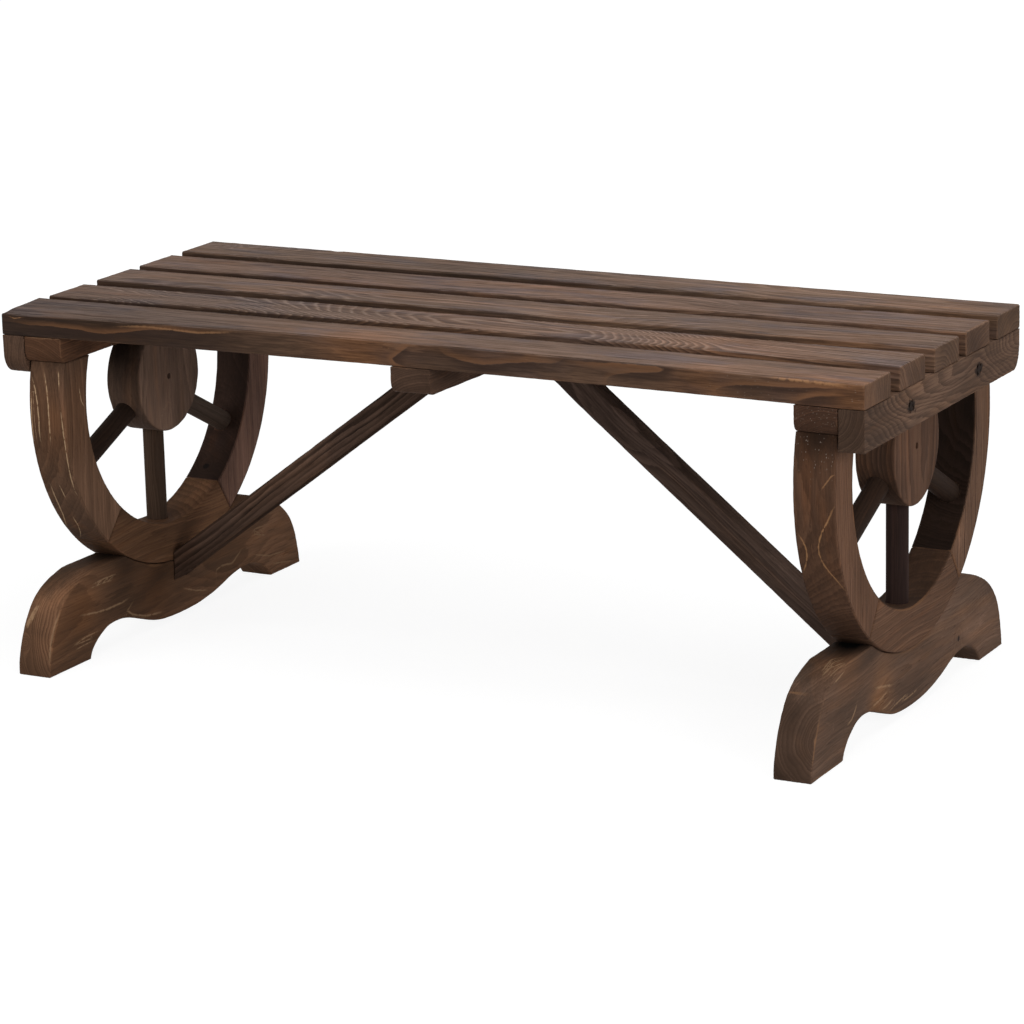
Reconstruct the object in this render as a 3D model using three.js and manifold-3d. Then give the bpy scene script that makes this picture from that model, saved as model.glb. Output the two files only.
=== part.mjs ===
// Wagon wheel bench: a slatted seat on two part wheels that stand in scrolled feet, with a
// slanting brace from each foot to the middle of the seat.
// Millimetres. +X runs along the seat, +Y to its back, +Z up, and the origin is on the floor
// under the middle of the seat.

import * as THREE from 'three';
import { mergeVertices } from 'three/addons/utils/BufferGeometryUtils.js';
import Module from 'manifold-3d';

const wasm = await Module();
wasm.setup();

// Fits: the gap left between pieces that touch, and how far a pocket runs past the face it enters
const fit = 0.3;
const overrun = 60;

// Seat slats, numbered from the front
const seatLength = 1060;
const seatDepth = 451;
const slatCount = 5;
const slatWidth = 71;
const slatThickness = 26.8;
const slatEase = 4;
const slatEndEase = 2;
// how far each slat lies off an even spacing, as a share of the gap between slats
const slatShiftShares = [0, 0.02, 0.15, 0.01, 0];

// Rails across the seat: a tall one at each end, and a flat one behind it and in the middle
const railThickness = 29.4;
const outerRailHeight = 45.2;
const flatRailWidth = 49.4;
const outerRailTaper = { along: 18, up: 26 };
const flatRailTaper = { along: 9, up: 14 };
const centreRailOffset = 3;
const timberEase = 1.5;

// Part wheel: rim in three pieces, hub and three round spokes. The wheel's flat head stands in
// by the rim's inset from the long edges of the seat.
const rimInset = 9.5;
const rimWidth = 47.6;
const rimThickness = 47.2;
const rimEase = 2;
const hubRadius = 65.7;
const hubThickness = 45;
const hubBoreRadius = 3.5;
const wheelHead = 58.2;
const spokeRadius = 12.5;
const spokeSocket = 14;
const spokeDrop = 9.5;
const frontSpokeAngle = THREE.MathUtils.degToRad(-66.6);
const backSpokeAngle = THREE.MathUtils.degToRad(62.7);

// Foot: a scrolled plank on edge with a saddle for the rim, reaching out past the seat
const footReach = 52.5;
const footShoulder = 105;
const footThickness = 43.7;
const footEase = 2.5;
const saddleHeight = 74.3;

// Braces
const braceDepth = 28.6;
const braceThickness = 27;

// Screws
const screwHeadRadius = 4.3;
const screwHeadHeight = 2.8;
const screwShankRadius = 2.2;
const screwTip = 6;
const screwSink = 1;
const shortScrew = 45;
const longScrew = 60;
const footScrew = 75;
const slatScrewCover = 5;
const slatScrewShift = 14;
const railScrewSpread = 98.5;
const railScrewDrop = 21.4;
const footScrewSpread = 70;
const footScrewBite = 36;

// Facets
const wheelStep = THREE.MathUtils.degToRad(6);
const hubStep = THREE.MathUtils.degToRad(10);
const slatCornerStep = THREE.MathUtils.degToRad(45);
const railCornerStep = THREE.MathUtils.degToRad(22.5);
const spokeSides = 16;
const screwSides = 8;

// The two ends of the bench differ a little, as handmade pieces do. The angles say where the
// rim's bottom piece ends in front and behind. The recesses of rim and hub behind the outer rail,
// and how far out the spokes stand in the hub, are shares of the rail's thickness. The arch of the
// sole is a share of the foot's shoulder. Where the brace's middle line meets the foot, and its low
// screw, are shares of the saddle's height, and its drop at the rail is a share of its depth.
const ends = [
  {
    name: 'left',
    side: -1,
    frontJoint: THREE.MathUtils.degToRad(40.8),
    backJoint: THREE.MathUtils.degToRad(32.3),
    rimRecessShare: 0.044,
    hubRecessShare: 0.04,
    spokeShiftShare: 0.136,
    footArchShare: 0.3,
    braceLowShare: 0.906,
    braceDropShare: 0.126,
    braceScrewShare: 0.834,
  },
  {
    name: 'right',
    side: 1,
    frontJoint: THREE.MathUtils.degToRad(35.5),
    backJoint: THREE.MathUtils.degToRad(36),
    rimRecessShare: 0.133,
    hubRecessShare: 0.11,
    spokeShiftShare: 0,
    footArchShare: 0.324,
    braceLowShare: 0.626,
    braceDropShare: 0.014,
    braceScrewShare: 0.646,
  },
];

// Heights and faces that follow from the sizes above
const rimRadius = Math.hypot(seatDepth / 2 - rimInset, wheelHead);
const wheelCentre = saddleHeight + rimRadius;
const wheelTop = wheelCentre + wheelHead;
const flatRailBottom = wheelTop + fit;
const railTop = flatRailBottom + railThickness;
const seatUnderside = railTop + fit;
const seatTop = seatUnderside + slatThickness;
const rimInner = rimRadius - rimWidth;
const outerRailFace = seatLength / 2 - railThickness;
const slatPitch = (seatDepth - slatWidth) / (slatCount - 1);
const slatGap = slatPitch - slatWidth;
const footLength = seatDepth + 2 * footReach;

// Outline of the foot from the front toe over its back end to the sole, in three stretches.
// Lengths are shares of half the foot's length, heights shares of its shoulder or its arch.
const frontToeShares = [
  [-1, 0], [-0.996, 0.16], [-0.968, 0.4], [-0.92, 0.63], [-0.86, 0.8], [-0.775, 0.92], [-0.657, 1],
];
const backToeShares = [
  [0.504, 1.152], [0.629, 1.057], [0.735, 0.96], [0.836, 0.829], [0.918, 0.644], [0.965, 0.43],
  [0.99, 0.18], [1, 0],
];
const frontShoulderShares = [-0.411, 1];
const archShares = [
  [0.746, 0], [0.726, 0.22], [0.682, 0.56], [0.62, 0.79], [0.546, 0.87], [0.436, 0.76], [0.282, 0.42],
  [0.12, 0.22], [-0.06, 0.2], [-0.2, 0.34], [-0.33, 0.71], [-0.44, 0.97], [-0.55, 0.96],
  [-0.635, 0.64], [-0.683, 0.28], [-0.697, 0],
];
const curveSteps = 2;

const xAxis = new THREE.Vector3(1, 0, 0);
const yAxis = new THREE.Vector3(0, 1, 0);
const zAxis = new THREE.Vector3(0, 0, 1);

// Turns a closed geometry into a solid that can be cut.
function solid(geometry) {
  const bare = geometry.clone();
  bare.deleteAttribute('normal');
  bare.deleteAttribute('uv');
  const merged = mergeVertices(bare);
  const corners = merged.index.array;
  const kept = [];
  for (let i = 0; i < corners.length; i += 3) {
    const [a, b, c] = corners.slice(i, i + 3);
    if (a !== b && b !== c && c !== a) {
      kept.push(a, b, c);
    }
  }
  return new wasm.Manifold(new wasm.Mesh({
    numProp: 3,
    vertProperties: new Float32Array(merged.attributes.position.array),
    triVerts: new Uint32Array(kept),
  }));
}

// Turns a solid back into a geometry.
function geometryOf(body) {
  const mesh = body.getMesh();
  const geometry = new THREE.BufferGeometry();
  geometry.setAttribute('position', new THREE.BufferAttribute(new Float32Array(mesh.vertProperties), 3));
  geometry.setIndex(new THREE.BufferAttribute(new Uint32Array(mesh.triVerts), 1));
  geometry.computeVertexNormals();
  return geometry;
}

// Extrudes an outline by a thickness, centred on its plane, with every face edge eased.
function plank(outline, thickness, ease) {
  const geometry = new THREE.ExtrudeGeometry(new THREE.Shape(outline), {
    depth: thickness - 2 * ease,
    bevelThickness: ease,
    bevelSize: ease,
    bevelOffset: -ease,
    bevelSegments: 1,
    steps: 1,
  });
  return geometry.translate(0, 0, ease - thickness / 2);
}

// A plank whose outline is drawn in Y and Z and whose thickness runs along X.
function sidePlank(outline, thickness, ease) {
  return plank(outline, thickness, ease).applyMatrix4(new THREE.Matrix4().makeBasis(yAxis, zAxis, xAxis));
}

// A plank whose outline is drawn in X and Z and whose thickness runs along Y.
function frontPlank(outline, thickness, ease) {
  const back = yAxis.clone().negate();
  return plank(outline, thickness, ease).applyMatrix4(new THREE.Matrix4().makeBasis(xAxis, zAxis, back));
}

// Points of an arc about the origin, its angles measured from straight down towards the back.
function arc(radius, from, to, step) {
  const count = Math.max(1, Math.ceil(Math.abs(to - from) / step));
  return Array.from({ length: count + 1 }, (_, i) => {
    const angle = from + (to - from) * (i / count);
    return new THREE.Vector2(radius * Math.sin(angle), -radius * Math.cos(angle));
  });
}

// A smooth curve through points given as shares of a length and a height.
function shareCurve(shares, length, height) {
  const points = shares.map(([along, up]) => new THREE.Vector2(along * length, up * height));
  return new THREE.SplineCurve(points).getPoints((points.length - 1) * curveSteps);
}

// The angle at which a circle about the wheel's centre meets the flat head of the wheel.
function headAngle(radius) {
  return Math.acos(-wheelHead / radius);
}

// Distances from the middle of the bench to the inner face that rim and foot share at one end,
// and to the middle planes of rim, foot, hub and spokes.
function planes({ rimRecessShare, hubRecessShare, spokeShiftShare }) {
  const inner = outerRailFace - rimRecessShare * railThickness - rimThickness;
  const hub = outerRailFace - hubRecessShare * railThickness - hubThickness / 2;
  return {
    inner,
    rim: inner + rimThickness / 2,
    foot: inner + footThickness / 2,
    hub,
    spoke: hub + spokeShiftShare * railThickness,
  };
}

// Half the width of a circle about the wheel's centre where the flat head cuts it.
function headHalfWidth(radius) {
  return Math.sqrt(radius ** 2 - wheelHead ** 2);
}

function timber(colour, roughness) {
  return new THREE.MeshStandardMaterial({ color: colour, roughness, metalness: 0 });
}

function steel() {
  return new THREE.MeshStandardMaterial({ color: 0x8d8a86, roughness: 0.4, metalness: 0.9 });
}

function piece(name, geometry, material, x = 0, y = 0, z = 0) {
  const mesh = new THREE.Mesh(geometryOf(solid(geometry)), material);
  mesh.name = name;
  mesh.position.set(x, y, z);
  return mesh;
}

// Cuts the pocket of an insert, such as a screw or a spoke, out of the pieces that hold it.
function bed(insert, ...holders) {
  insert.updateWorldMatrix(true, false);
  for (const holder of holders) {
    holder.updateWorldMatrix(true, false);
    const toHolder = holder.matrixWorld.clone().invert().multiply(insert.matrixWorld);
    const pocket = insert.userData.pocket.clone().applyMatrix4(toHolder);
    holder.geometry = geometryOf(solid(holder.geometry).subtract(solid(pocket)));
  }
}

function slatMiddle(index) {
  return (index - (slatCount - 1) / 2) * slatPitch + slatShiftShares[index] * slatGap;
}

function slatOutline() {
  const y = slatWidth / 2 - slatEase;
  const z = slatThickness / 2 - slatEase;
  const turn = Math.PI / 2;
  const middles = [[y, -z], [y, z], [-y, z], [-y, -z]].map((place) => new THREE.Vector2(...place));
  return middles.flatMap((middle, i) => arc(slatEase, i * turn, (i + 1) * turn, slatCornerStep)
    .map((point) => point.add(middle)));
}

function slat(index) {
  const section = sidePlank(slatOutline(), seatLength, slatEndEase);
  const height = seatUnderside + slatThickness / 2;
  return piece(`seat_slat_${index + 1}`, section, timber(0x55473f, 0.75), 0, slatMiddle(index), height);
}

// Outline of a rail from its top front corner round its two lower corners, each rounded to a
// quarter of an ellipse, or square where it has no taper.
function railOutline(height, frontTaper, backTaper) {
  const half = seatDepth / 2;
  const corner = (taper, toBack) => {
    if (!taper) {
      return [new THREE.Vector2(toBack * half, -height)];
    }
    return arc(1, Math.PI / 2, 0, railCornerStep).map((point) => new THREE.Vector2(
      toBack * (half - taper.along + taper.along * point.x),
      -height + taper.up + taper.up * point.y,
    ));
  };
  return [
    new THREE.Vector2(-half, 0),
    ...corner(frontTaper, -1),
    ...corner(backTaper, 1).reverse(),
    new THREE.Vector2(half, 0),
  ];
}

// The left outer rail is the right one turned about, so its taper is in front.
function outerRail({ name, side }) {
  const tapers = side > 0 ? [null, outerRailTaper] : [outerRailTaper, null];
  const outline = railOutline(outerRailHeight, ...tapers);
  const geometry = sidePlank(outline, railThickness, timberEase);
  const x = side * (seatLength / 2 - railThickness / 2);
  return piece(`outer_rail_${name}`, geometry, timber(0x4a3a31, 0.7), x, 0, railTop);
}

function flatRail(name, x) {
  const outline = railOutline(railThickness, flatRailTaper, flatRailTaper);
  return piece(name, sidePlank(outline, flatRailWidth, timberEase), timber(0x35292a, 0.8), x, 0, railTop);
}

// A piece of rim between two angles, or from a joint up to the wheel's flat head.
function rimPiece(name, x, outer, inner) {
  const outline = [...arc(rimRadius, ...outer, wheelStep), ...arc(rimInner, ...inner, wheelStep).reverse()];
  return piece(name, sidePlank(outline, rimThickness, rimEase), timber(0x40322b, 0.75), x, 0, wheelCentre);
}

function rimPieces(end) {
  const { name, side, frontJoint, backJoint } = end;
  const x = side * planes(end).rim;
  const gap = fit / rimInner;
  const outer = headAngle(rimRadius);
  const inner = headAngle(rimInner);
  const frontEnd = -frontJoint - gap;
  const backEnd = backJoint + gap;
  const span = [-frontJoint, backJoint];
  return {
    front: rimPiece(`rim_front_${name}`, x, [-outer, frontEnd], [-inner, frontEnd]),
    bottom: rimPiece(`rim_bottom_${name}`, x, span, span),
    back: rimPiece(`rim_back_${name}`, x, [backEnd, outer], [backEnd, inner]),
  };
}

function hub(end) {
  const head = headAngle(hubRadius);
  const geometry = sidePlank(arc(hubRadius, -head, head, hubStep), hubThickness, rimEase);
  const x = end.side * planes(end).hub;
  const mesh = piece(`hub_${end.name}`, geometry, timber(0x42342c, 0.7), x, 0, wheelCentre);
  const bore = new THREE.CylinderGeometry(hubBoreRadius, hubBoreRadius, hubThickness + overrun, screwSides);
  mesh.geometry = geometryOf(solid(mesh.geometry).subtract(solid(bore.rotateZ(Math.PI / 2))));
  return mesh;
}

// How far along a spoke's line, from the point under the wheel's centre where the three lines
// meet, a circle about the wheel's centre lies.
function spokeReach(radius, angle) {
  return Math.sqrt(radius ** 2 - (spokeDrop * Math.sin(angle)) ** 2) - spokeDrop * Math.cos(angle);
}

// A round spoke let into sockets in the hub and the rim, at an angle from straight down.
function spoke(name, end, angle) {
  const start = spokeReach(hubRadius, angle) - spokeSocket;
  const length = spokeReach(rimInner, angle) + spokeSocket - start;
  const middle = start + length / 2;
  const shape = (grow) => new THREE.CylinderGeometry(
    spokeRadius + grow, spokeRadius + grow, length + 2 * grow, spokeSides,
  );
  const y = middle * Math.sin(angle);
  const z = wheelCentre - spokeDrop - middle * Math.cos(angle);
  const mesh = piece(name, shape(0), timber(0x2c2422, 0.8), end.side * planes(end).spoke, y, z);
  mesh.rotation.x = angle - Math.PI / 2;
  mesh.userData.pocket = shape(fit);
  return mesh;
}

function footOutline(footArch) {
  const half = footLength / 2;
  const point = ([along, up]) => new THREE.Vector2(along * half, up * footShoulder);
  return [
    ...shareCurve(archShares, half, footArch).reverse(),
    ...shareCurve(backToeShares, half, footShoulder).reverse(),
    point(frontShoulderShares),
    ...shareCurve(frontToeShares, half, footShoulder).reverse(),
  ];
}

// The saddle is cut by the rim's outer circle, far enough out that its facets clear the rim's.
function foot(end) {
  const outline = footOutline(end.footArchShare * footShoulder);
  const geometry = sidePlank(outline, footThickness, footEase);
  const x = end.side * planes(end).foot;
  const mesh = piece(`foot_${end.name}`, geometry, timber(0x48382f, 0.75), x);
  const radius = (rimRadius + fit) / Math.cos(wheelStep / 2);
  const sides = Math.round(2 * Math.PI / wheelStep);
  const rim = new THREE.CylinderGeometry(radius, radius, footThickness + overrun, sides);
  rim.rotateZ(Math.PI / 2).translate(0, 0, wheelCentre);
  mesh.geometry = geometryOf(solid(mesh.geometry).subtract(solid(rim)));
  return mesh;
}

function centreRailSide(side) {
  return centreRailOffset + side * (flatRailWidth / 2 + fit);
}

// Middle line, slope and cut ends of a brace, which runs from the wheel's inner face to the
// centre rail's side and is cut level under the middle slat.
function braceLines(end) {
  const { side, braceLowShare, braceDropShare } = end;
  const low = { x: side * (planes(end).inner - fit), z: braceLowShare * saddleHeight };
  const high = { x: centreRailSide(side), z: seatUnderside - braceDropShare * braceDepth };
  const slope = (high.z - low.z) / (high.x - low.x);
  const halfHeight = braceDepth / 2 * Math.hypot(1, slope);
  const flatStart = high.x + (railTop - high.z - halfHeight) / slope;
  return { low, high, slope, halfHeight, flatStart };
}

function brace(end) {
  const { low, high, halfHeight, flatStart } = braceLines(end);
  const outline = [
    new THREE.Vector2(low.x, low.z - halfHeight),
    new THREE.Vector2(high.x, high.z - halfHeight),
    new THREE.Vector2(high.x, railTop),
    new THREE.Vector2(flatStart, railTop),
    new THREE.Vector2(low.x, low.z + halfHeight),
  ];
  return piece(`brace_${end.name}`, frontPlank(outline, braceThickness, timberEase), timber(0x352a27, 0.8));
}

// A countersunk screw, its head's face at the given point and its tip along the direction.
function screw(name, length, [x, y, z], direction) {
  const turned = (points) => new THREE.LatheGeometry(
    points.map(([radius, along]) => new THREE.Vector2(radius, along)), screwSides,
  );
  const mesh = piece(name, turned([
    [0, 0],
    [screwHeadRadius, 0],
    [screwShankRadius, screwHeadHeight],
    [screwShankRadius, length - screwTip],
    [0, length],
  ]), steel(), x, y, z);
  mesh.quaternion.setFromUnitVectors(yAxis, direction);
  mesh.userData.pocket = turned([
    [0, -overrun],
    [screwHeadRadius + fit, -overrun],
    [screwHeadRadius + fit, 0],
    [screwShankRadius + fit, screwHeadHeight + fit],
    [screwShankRadius + fit, length - screwTip],
    [0, length + 2 * fit],
  ]);
  return mesh;
}

// A screw up through a rail into a slat, beside the slat's middle line.
function slatScrew(name, length, x, index) {
  const middle = slatMiddle(index);
  const y = middle - Math.sign(index - (slatCount - 1) / 2) * slatScrewShift;
  return screw(name, length, [x, y, seatTop - slatScrewCover - length], zAxis);
}

const armMiddle = (headHalfWidth(rimRadius) + headHalfWidth(rimInner)) / 2;
const bench = new THREE.Group();
const slats = Array.from({ length: slatCount }, (_, index) => slat(index));
const middleSlat = slats[(slatCount - 1) / 2];
const centreRail = flatRail('centre_rail', centreRailOffset);
bench.add(...slats, centreRail);

slats.forEach((board, index) => {
  const fastener = slatScrew(`slat_screw_centre_${index + 1}`, shortScrew, centreRailOffset, index);
  bench.add(fastener);
  bed(fastener, board, centreRail);
});

for (const end of ends) {
  const { name, side } = end;
  const inward = xAxis.clone().multiplyScalar(-side);
  const group = new THREE.Group();
  bench.add(group);

  const outer = outerRail(end);
  const inner = flatRail(`inner_rail_${name}`, side * (outerRailFace - fit - flatRailWidth / 2));
  const rim = rimPieces(end);
  const nave = hub(end);
  const base = foot(end);
  const strut = brace(end);
  group.add(outer, inner, rim.front, rim.bottom, rim.back, nave, base, strut);

  const spokes = [
    [spoke(`spoke_front_${name}`, end, frontSpokeAngle), rim.front],
    [spoke(`spoke_down_${name}`, end, 0), rim.bottom],
    [spoke(`spoke_back_${name}`, end, backSpokeAngle), rim.back],
  ];
  for (const [bar, holder] of spokes) {
    group.add(bar);
    bed(bar, nave, holder);
  }

  slats.forEach((board, index) => {
    const fastener = slatScrew(`slat_screw_${name}_${index + 1}`, longScrew, outer.position.x, index);
    group.add(fastener);
    bed(fastener, board, outer);
  });

  for (const [place, toBack, arm] of [['front', -1, rim.front], ['back', 1, rim.back]]) {
    const railScrew = screw(`rail_screw_${place}_${name}`, shortScrew, [
      side * (seatLength / 2 - screwSink),
      toBack * railScrewSpread,
      railTop - railScrewDrop,
    ], inward);
    group.add(railScrew);
    bed(railScrew, outer, inner);

    const armScrew = screw(`arm_screw_${place}_${name}`, longScrew, [
      arm.position.x,
      toBack * armMiddle,
      railTop - screwSink,
    ], zAxis.clone().negate());
    group.add(armScrew);
    bed(armScrew, inner, arm);

    const rimUnderside = wheelCentre - Math.sqrt(rimRadius ** 2 - footScrewSpread ** 2);
    const soleScrew = screw(`foot_screw_${place}_${name}`, footScrew, [
      base.position.x,
      toBack * footScrewSpread,
      rimUnderside + footScrewBite - footScrew,
    ], zAxis);
    group.add(soleScrew);
    bed(soleScrew, base, rim.bottom);
  }

  const { low, high, slope, halfHeight, flatStart } = braceLines(end);
  const screwHeight = end.braceScrewShare * saddleHeight;
  const lowerFace = low.x + (screwHeight - low.z + halfHeight) / slope;
  const lowScrew = screw(`brace_foot_screw_${name}`, shortScrew, [
    lowerFace + side * (screwSink + screwHeadRadius / Math.abs(slope)),
    0,
    screwHeight,
  ], inward.clone().negate());
  const highScrew = screw(`brace_head_screw_${name}`, shortScrew, [
    (high.x + flatStart) / 2,
    0,
    seatTop - slatScrewCover - shortScrew,
  ], zAxis);
  group.add(lowScrew, highScrew);
  bed(lowScrew, base, strut);
  bed(highScrew, strut, middleSlat);
}

export default bench;
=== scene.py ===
"""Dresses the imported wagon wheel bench: charred and brushed timber with growth rings, worn edges
and drawn screws, seen by the photograph's camera on a pale floor.

Metres. +X runs along the seat, +Y to its back, +Z up, and the origin is on the floor under the
middle of the seat, as in the CAD frame.
"""

import math
from collections import namedtuple

import bpy
import numpy as np
from mathutils import Matrix, Vector


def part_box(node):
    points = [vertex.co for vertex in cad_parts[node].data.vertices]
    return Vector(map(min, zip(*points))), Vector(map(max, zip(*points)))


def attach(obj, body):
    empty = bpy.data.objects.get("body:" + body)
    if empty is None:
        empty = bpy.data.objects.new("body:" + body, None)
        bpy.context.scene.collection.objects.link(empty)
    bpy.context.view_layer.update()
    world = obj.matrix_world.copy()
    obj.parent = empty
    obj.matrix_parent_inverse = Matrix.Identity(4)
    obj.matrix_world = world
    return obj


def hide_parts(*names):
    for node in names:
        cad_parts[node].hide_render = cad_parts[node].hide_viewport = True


bl_info = {
    "name": "Wagon Wheel Bench",
    "version": (1, 0, 0),
    "blender": (4, 5, 0),
    "location": "3D View > Sidebar > Bench",
    "description": "Builds the bench's timbers, screws and stage round its CAD frame",
    "category": "Add Mesh",
}

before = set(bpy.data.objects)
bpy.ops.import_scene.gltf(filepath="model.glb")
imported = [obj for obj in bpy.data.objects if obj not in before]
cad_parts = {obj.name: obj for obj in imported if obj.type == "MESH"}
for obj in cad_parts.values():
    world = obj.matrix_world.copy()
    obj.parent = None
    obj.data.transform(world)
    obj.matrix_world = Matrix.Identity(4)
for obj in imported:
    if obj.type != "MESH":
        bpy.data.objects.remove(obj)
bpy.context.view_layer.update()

MM = 0.001
SIDES = {"left": -1, "right": 1}
X_AXIS, Y_AXIS, Z_AXIS = np.eye(3)


def centre_of(name):
    """Middle and half size of a CAD node's box."""
    low, high = (np.array(corner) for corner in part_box(name))
    return (low + high) / 2, (high - low) / 2


def top_of(name):
    """Highest corner of a CAD node's box: its right, back and upper sides."""
    return sum(centre_of(name))


# Sizes in metres, and angles in degrees from straight down. The frame's boxes give the first four
# below the fit
FIT = 0.3 * MM
SEAT_HALF_DEPTH, RAIL_TOP = top_of("centre_rail")[1:]
SEAT_UNDERSIDE = RAIL_TOP + FIT
SEAT_HALF_LENGTH = top_of("seat_slat_1")[0]
FOOT_HALF_LENGTH = top_of("foot_left")[1]
WHEEL_CENTRE = 297.997 * MM
RIM_RADIUS = 223.697 * MM
RIM_INNER = RIM_RADIUS - 47.6 * MM
HUB_RADIUS = 65.7 * MM
HUB_BORE = 3.5 * MM
WHEEL_HEAD = 58.2 * MM
SPOKE_RADIUS = 12.5 * MM
SPOKE_SOCKET = 14 * MM
SPOKE_DROP = 9.5 * MM
SPOKE_ANGLES = {"front": -66.6, "down": 0.0, "back": 62.7}
FOOT_SHOULDER = 105.0 * MM
BRACE_DEPTH = 28.6 * MM
SCREW_HEAD_RADIUS = 4.3 * MM
SCREW_HEAD_HEIGHT = 2.8 * MM
SCREW_SHANK_RADIUS = 2.2 * MM
SCREW_TIP = 6 * MM
SCREW_PITCH = 1.8 * MM
# Reach and shape of the painted shade round a torn screw hole
HOLE_SHADE_RADIUS = 8.5 * MM
HOLE_SHADE_SHAPE = (1, 0.66, 1.15)
SCRATCH_DEPTH = 0.3 * MM
DEEPEST_WEAR = 1 * MM
FLOOR_REACH = 15

# What differs between the two ends: the angles of the rim's joints in degrees from straight down,
# the arch of the sole, and the height at which the brace's middle line meets the wheel
End = namedtuple("End", "front_joint back_joint arch brace_low brace_drop")
ENDS = {
    "left": End(40.8, 32.3, 31.5 * MM, 67.3162 * MM, 3.6036 * MM),
    "right": End(35.5, 36.0, 34.02 * MM, 46.5118 * MM, 0.4004 * MM),
}

# Outline of a foot, as shares of half its length and of its shoulder or its arch
FRONT_TOE = [
    (-1, 0), (-0.996, 0.16), (-0.968, 0.4), (-0.92, 0.63), (-0.86, 0.8), (-0.775, 0.92), (-0.657, 1),
]
BACK_TOE = [
    (0.504, 1.152), (0.629, 1.057), (0.735, 0.96), (0.836, 0.829), (0.918, 0.644), (0.965, 0.43),
    (0.99, 0.18), (1, 0),
]
FRONT_SHOULDER = -0.411
ARCHES = [
    (0.746, 0), (0.726, 0.22), (0.682, 0.56), (0.62, 0.79), (0.546, 0.87), (0.436, 0.76),
    (0.282, 0.42), (0.12, 0.22), (-0.06, 0.2), (-0.2, 0.34), (-0.33, 0.71), (-0.44, 0.97),
    (-0.55, 0.96), (-0.635, 0.64), (-0.683, 0.28), (-0.697, 0),
]
SPLINE_STEPS = 10

# The camera, worked out from the photograph: its place, its axes in the frame and its lens
CAMERA_PLACE = (1.9268015, -3.6044130, 1.2164525)
CAMERA_RIGHT = (0.8847621, 0.4654719, -0.0230635)
CAMERA_DOWN = (0.0951501, -0.2288626, -0.9687974)
CAMERA_FORWARD = (-0.4562263, 0.8549607, -0.2467786)
CAMERA_LENS = 129.8995


def tint(red, green, blue):
    """Linear colour of a colour given in 0 to 255, by the usual curve of a screen."""
    shares = np.array([red, green, blue]) / 255
    linear = np.where(shares <= 0.04045, shares / 12.92, ((shares + 0.055) / 1.055) ** 2.4)
    return (*linear.tolist(), 1.0)


# Shapes


def waves(points, size, seed, count=16):
    """Smooth noise of about -1 to 1: a sum of plane sine waves with random directions and phases,
    whose lengths are 0.6 to 1.8 times the size."""
    rng = np.random.default_rng(seed)
    directions = rng.normal(size=(count, points.shape[-1]))
    directions /= np.linalg.norm(directions, axis=1, keepdims=True)
    pace = directions * (2 * np.pi / (size * rng.uniform(0.6, 1.8, count)))[:, None]
    return np.sin(points @ pace.T + rng.uniform(0, 2 * np.pi, count)).sum(-1) * (0.5 / count) ** 0.5


def smooth(value, start, end):
    """Smooth step of a value, from 0 at the start to 1 at the end: t² (3 - 2 t)."""
    share = np.clip((value - start) / (end - start), 0, 1)
    return share**2 * (3 - 2 * share)


def lengths(points):
    """Length of each stretch of a polyline."""
    return np.linalg.norm(np.diff(points, axis=0), axis=1)


def share_steps(count, crowd=0.8):
    """Shares from 0 to 1 that crowd at both ends: t - crowd sin(2 pi t) / (2 pi)."""
    even = np.linspace(0, 1, count + 1)
    return even - crowd * np.sin(2 * np.pi * even) / (2 * np.pi)


def along(points, shares):
    """Points of a polyline at given shares of its length."""
    reach = np.append(0, np.cumsum(lengths(points)))
    return np.stack([np.interp(shares * reach[-1], reach, part) for part in points.T], -1)


def spline(points):
    """Uniform Catmull-Rom curve through points, its end points doubled."""
    padded = np.vstack([points[:1], points, points[-1:]])
    t = np.linspace(0, 1, SPLINE_STEPS, endpoint=False)[:, None]
    spans = []
    for a, b, c, d in zip(padded, padded[1:], padded[2:], padded[3:]):
        bend = 2 * a - 5 * b + 4 * c - d + t * (3 * (b - c) + d - a)
        spans.append(b + 0.5 * t * ((c - a) + t * bend))
    return np.vstack([*spans, points[-1:]])


def circle_arc(radius, start, end, steps=60):
    """Points of an arc about the origin, its angles in radians from straight down to the back."""
    angle = np.linspace(start, end, steps)
    return np.stack([radius * np.sin(angle), -radius * np.cos(angle)], -1)


def round_corners(stretches, radius):
    """Rounds the corners where four stretches of a closed outline meet. Each corner becomes a
    quadratic curve between points a radius away on both stretches, split at its middle."""
    middles, trimmed = [], []
    for stretch in stretches:
        share = min(radius / lengths(stretch).sum(), 0.45)
        trimmed.append(along(stretch, np.linspace(share, 1 - share, 240)))
    t = np.linspace(0, 1, 13)[:, None]
    for i, stretch in enumerate(stretches):
        a, corner, b = trimmed[i][-1], stretch[-1], trimmed[(i + 1) % 4][0]
        middles.append(a * (1 - t) ** 2 + 2 * corner * t * (1 - t) + b * t**2)
    return [np.vstack([middles[i - 1][6:], trimmed[i][1:-1], middles[i][:7]]) for i in range(4)]


def patch(bottom, right, top, left, u, v):
    """Coons patch between four curves: the mean of the two ruled surfaces between opposite curves
    less the bilinear surface through the corners. Bottom and top run with u, left and right with v."""
    u, v = u[None, :, None], v[:, None, None]
    ruled = (1 - v) * bottom[None] + v * top[None] + (1 - u) * left[:, None] + u * right[:, None]
    corners = (1 - u) * (1 - v) * bottom[0] + u * (1 - v) * bottom[-1]
    return ruled - corners - (1 - u) * v * top[0] - u * v * top[-1]


def point_numbers(rows, size, closed=False):
    """Numbers of the points in rows that close on themselves, the last row meeting the first where
    all is closed."""
    return np.pad(np.arange(rows * size).reshape(rows, size), ((0, closed), (0, 1)), mode="wrap")


def quads_of(index):
    """Quads between the neighbours in a grid of point numbers."""
    return np.stack([index[:-1, :-1], index[:-1, 1:], index[1:, 1:], index[1:, :-1]], -1).reshape(-1, 4)


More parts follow.
